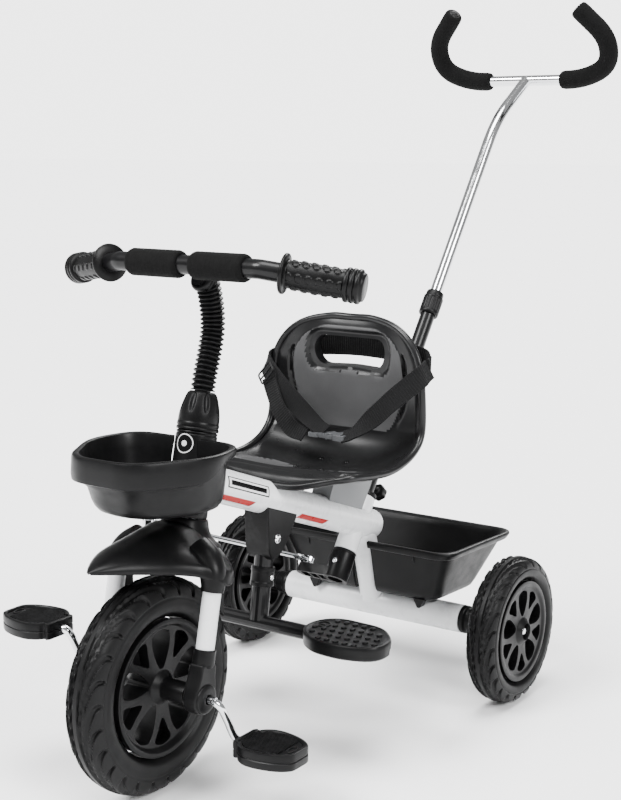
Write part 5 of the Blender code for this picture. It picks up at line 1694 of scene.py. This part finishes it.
def collar():
    """Twist collar: smooth skirt, a waist and fine ribs on the grip part."""
    def ribbed(angle, radius, height):
        if -0.0225 < height < -0.0040 and radius > 0.0138:
            return radius - 0.0005 * (0.5 + 0.5 * math.cos(26.0 * angle))
        return radius

    line = [(0.0108, -0.0280), (0.0132, -0.0280), (0.0139, -0.0272), (0.0142, -0.0260),
            (0.0142, -0.0232), (0.0139, -0.0226)]
    line += [(0.0142, -0.0222 + 0.0018 * i) for i in range(11)]
    line += [(0.0139, -0.0036), (0.0142, -0.0030), (0.0142, -0.0004), (0.0136, 0.0006),
             (0.0128, 0.0012), (0.0126, 0.0066), (0.0120, 0.0084), (0.0110, 0.0090),
             (0.0090, 0.0090), (0.0090, 0.0012), (0.0108, 0.0010)]
    turned("pole_collar_ribbed", "pole_collar", "black_plastic", line,
           POLE + COLLAR_BASE * POLE_AXIS, POLE_AXIS, 130, replaces=("pole_collar",),
           shape=ribbed)


def knob():
    """Lobed hand knob on a short screw behind the pole."""
    rearward = square_to(POLE_AXIS, Y)
    base = POLE + KNOB_HEIGHT * POLE_AXIS + 0.0111 * rearward

    def lobed(angle, radius, height):
        if radius < 0.0090:
            return radius
        return radius - 0.0012 * (0.5 + 0.5 * math.cos(7.0 * angle))

    turned("pole_knob_lobed", "pole_knob", "black_plastic",
           [(0.0, 0.0), (0.0040, 0.0), (0.0040, 0.0110), (0.0060, 0.0128), (0.0112, 0.0140),
            (0.0115, 0.0180), (0.0115, 0.0240), (0.0098, 0.0268), (0.0, 0.0275)],
           base, rearward, 112, 0.0010, closed=False, replaces=("pole_knob",), shape=lobed)


def upper_pole():
    start = POLE + 0.3360 * POLE_AXIS
    bend = at(0.0, 0.8130, 0.7618)
    path = fillet([start, start.lerp(bend, 0.6), bend, CROSSBAR], 0.0420, 12)
    publish(sweep(path, 0.0086, 48, bore=0.0072), "pole_upper_tube", "push_handle", "chrome",
            replaces=("push_pole_upper",))


def push_path():
    """Centre line of the crossbar's left half, from the middle to the horn's end."""
    return [CROSSBAR + x * X + up * HORN_UP
            for x, up in ((0.0, 0.0), (0.095, 0.0), (0.141, 0.020), (0.145, 0.064),
                          (0.103, 0.112))]


def push_bar():
    """Bent crossbar in one piece, with the two long foam horns."""
    left = fillet(push_path(), 0.026, 12)
    right = [Vector((-p.x, p.y, p.z)) for p in left[::-1]]
    publish(sweep(even_path(right[:-1] + left, 0.003), 0.0080, 48), "push_crossbar_round",
            "push_handle", "chrome", replaces=("push_crossbar",))
    for side, label in SIDES:
        keys = [Vector((side * p.x, p.y, p.z)) for p in left if p.x > FOAM_START]
        path = even_path([CROSSBAR + side * FOAM_START * X, *keys], 0.0018)
        way = (path[-1] - path[-3]).normalized()
        foam_sleeve(path, 0.0141, f"push_foam_{label}_sleeve", "push_handle",
                    f"push_foam_{label}", 0.0081)
        turned(f"horn_plug_{label}", "push_handle", "black_plastic",
               [(0.0, -0.002), (0.0078, -0.002), (0.0078, 0.0004), (0.0066, 0.0010),
                (0.0, 0.0010)], path[-1], way, 32, 0.0004, closed=False)


# ------------------------------------------------------------------ lap belt
RIB_PITCH = 0.0034
END_WIDTH = 0.0210              # of a strap where it goes into the buckle


def webbing(name, node, keys, width_way, width=0.0268, thickness=0.0020, ribbed=True,
            end_way=None):
    """Strap with rolled selvages and cross ribs; its end may twist flat and gather."""
    step = RIB_PITCH / 5.0
    path = even_path(smooth_path([at(*key) for key in keys], 12), step)
    section = [(-0.500, 0.25), (-0.490, 0.50), (-0.470, 0.56), (-0.445, 0.46), (-0.20, 0.50),
               (0.0, 0.51), (0.20, 0.50), (0.445, 0.46), (0.470, 0.56), (0.490, 0.50),
               (0.500, 0.25)]
    loops = []
    for i, (centre, way) in enumerate(zip(path, tangents(path))):
        twist = ramp(i, 0.62 * len(path), 0.96 * len(path)) if end_way else 0.0
        across = square_to(way, width_way.lerp(end_way or width_way, twist))
        wide = width + (END_WIDTH - width) * twist
        normal = way.cross(across)
        rib = 1.0 + (0.30 if ribbed else 0.05) * math.cos(2.0 * math.pi * i * step / RIB_PITCH)
        sag = 0.00025 * math.sin(0.021 * i)
        outer = [centre + a * wide * across + (b * thickness * rib + sag) * normal
                 for a, b in section]
        inner = [centre + a * wide * across - (b * thickness * rib - sag) * normal
                 for a, b in reversed(section)]
        loops.append(outer + inner)
    publish(loft(bmesh.new(), loops), name, "root", "webbing", replaces=(node,) if node else (),
            sharp=70.0)


def belts():
    ends = {1: ((0.0950, 0.3700, 0.4100), (0.0640, 0.3650, 0.3810), (0.0380, 0.3600, 0.3600),
                (0.0230, 0.3590, 0.3535)),
            -1: ((0.0900, 0.3740, 0.4120), (0.0550, 0.3700, 0.3850), (0.0220, 0.3660, 0.3630),
                 (0.0080, 0.3650, 0.3570))}
    for side, label in SIDES:
        across = Vector((side * 0.32, -0.15, -0.94)).normalized()
        keys = [(side * x, y, z) for x, y, z in
                ((0.1196, 0.4140, 0.4440), (0.1200, 0.3880, 0.4350), *ends[side])]
        webbing(f"belt_{label}_webbing", f"belt_{label}", keys, across, ribbed=side > 0,
                end_way=across.lerp(-Y, 0.5))
    tail = [(-0.1060, 0.3740, 0.4190), (-0.0960, 0.3690, 0.4010), (-0.0790, 0.3610, 0.3770),
            (-0.0560, 0.3560, 0.3570), (-0.0330, 0.3550, 0.3510)]
    across = Vector((-0.32, -0.15, -0.94)).normalized()
    webbing("belt_tail", None, tail, across, 0.0240, 0.0018, end_way=across.lerp(-Y, 0.4))
    back = [(-0.1190, 0.4140, 0.4440), (-0.1150, 0.4230, 0.4470), (-0.0900, 0.4350, 0.4560),
            (0.0, 0.4370, 0.4620), (0.0900, 0.4350, 0.4560), (0.1150, 0.4230, 0.4470),
            (0.1190, 0.4140, 0.4440)]
    webbing("belt_back_webbing", "belt_back", back, Z)
    slider()
    buckle()


def frame_loop(name, centre, along, across, half_long, half_wide, radius):
    """Rounded rectangular ring with a bar over its middle."""
    corners = [centre + a * half_long * along + b * half_wide * across
               for a, b in ((-1, -1), (1, -1), (1, 1), (-1, 1))]
    path = fillet(corners, 0.0030, 5, closed=True)
    bm = sweep(path + path[:1], radius, 14)
    sweep([centre - half_wide * across, centre, centre + half_wide * across], 0.9 * radius, 14,
          bm=bm)
    publish(bm, name, "root", "black_plastic", sharp=60.0)


def slider():
    """Webbing slider on the child's right, where the tail doubles back."""
    centre = at(-0.1085, 0.3748, 0.4236)
    along = (at(-0.0950, 0.3700, 0.4100) - at(-0.1215, 0.3850, 0.4340)).normalized()
    across = square_to(along, Vector((-0.32, -0.15, -0.94)))
    lift = along.cross(across).normalized()
    if lift.y > 0.0:
        lift = -lift
    frame_loop("belt_slider", centre + 0.0028 * lift, along, across, 0.0085, 0.0142, 0.0013)


def buckle():
    """Side-release buckle: socket with side windows, tongue with two arms, and end bars."""
    low, high = (Vector(corner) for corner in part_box("belt_buckle"))
    centre = (low + high) / 2
    wide, half_z = (high.y - low.y) / 2, (high.z - low.z) / 2

    def plate(name, marks, thick, rise, cuts=(), replaces=()):
        outline = [centre + Vector((x, y, rise - thick)) for x, y in marks]
        outline = fillet(outline, 0.0022, 4, closed=True)
        bm = slab(outline, Vector((0.0, 0.0, 2.0 * thick)))
        piece = publish(bm, name, "root", "buckle", replaces=replaces)
        tools = []
        for i, cut in enumerate(cuts):
            hole = [centre + Vector((x, y, rise - 2.0 * thick)) for x, y in cut]
            tools.append(bare(slab(fillet(hole, 0.0012, 3, closed=True),
                                   Vector((0.0, 0.0, 4.0 * thick))), f"{name}_cut_{i}"))
        if tools:
            carve(piece, tools)
        soften(piece, 0.0009, 3)

    socket = [(-0.0020, -0.86 * wide), (0.0120, -wide), (0.0285, -wide), (0.0285, wide),
              (0.0120, wide), (-0.0020, 0.86 * wide)]
    windows = [[(0.0010, s * 1.2 * wide), (0.0022, s * 0.58 * wide), (0.0100, s * 0.55 * wide),
                (0.0118, s * 1.2 * wide)] for s in (-1, 1)]
    bar_slot = [(0.0205, -0.78 * wide), (0.0245, -0.78 * wide), (0.0245, 0.78 * wide),
                (0.0205, 0.78 * wide)]
    plate("belt_buckle_socket", socket, half_z * 0.98, 0.0, (*windows, bar_slot),
          ("belt_buckle",))
    tongue = [(-0.0285, -0.92 * wide), (-0.0140, -0.92 * wide), (-0.0120, -0.52 * wide),
              (-0.0024, -0.50 * wide), (-0.0024, 0.50 * wide), (-0.0120, 0.52 * wide),
              (-0.0140, 0.92 * wide), (-0.0285, 0.92 * wide)]
    slots = [[(-0.0250, -0.74 * wide), (-0.0212, -0.74 * wide), (-0.0212, 0.74 * wide),
              (-0.0250, 0.74 * wide)],
             [(-0.0170, -0.36 * wide), (-0.0060, -0.30 * wide), (-0.0060, 0.30 * wide),
              (-0.0170, 0.36 * wide)]]
    plate("belt_buckle_tongue", tongue, half_z * 0.72, 0.0004, slots)
    for side in (-1, 1):
        arm = [(-0.0130, side * 0.56 * wide), (-0.0040, side * 0.62 * wide),
               (0.0040, side * 0.70 * wide), (0.0098, side * 0.90 * wide),
               (0.0104, side * 0.98 * wide), (0.0060, side * 0.98 * wide),
               (-0.0040, side * 0.84 * wide), (-0.0130, side * 0.80 * wide)]
        plate(f"belt_buckle_arm_{'l' if side > 0 else 'r'}", arm, half_z * 0.62, 0.0002)


MAKERS = (wheels, frame_tubes, stickers, seat_plate, bracket, head_parts, lock_nut, fork, fender,
          front_lever, front_basket, rear_basket, seat, stem, handlebar, pedals, footrest, linkage,
          push_pole, belts)


studio()
dress_cad()
for make in MAKERS:
    make()
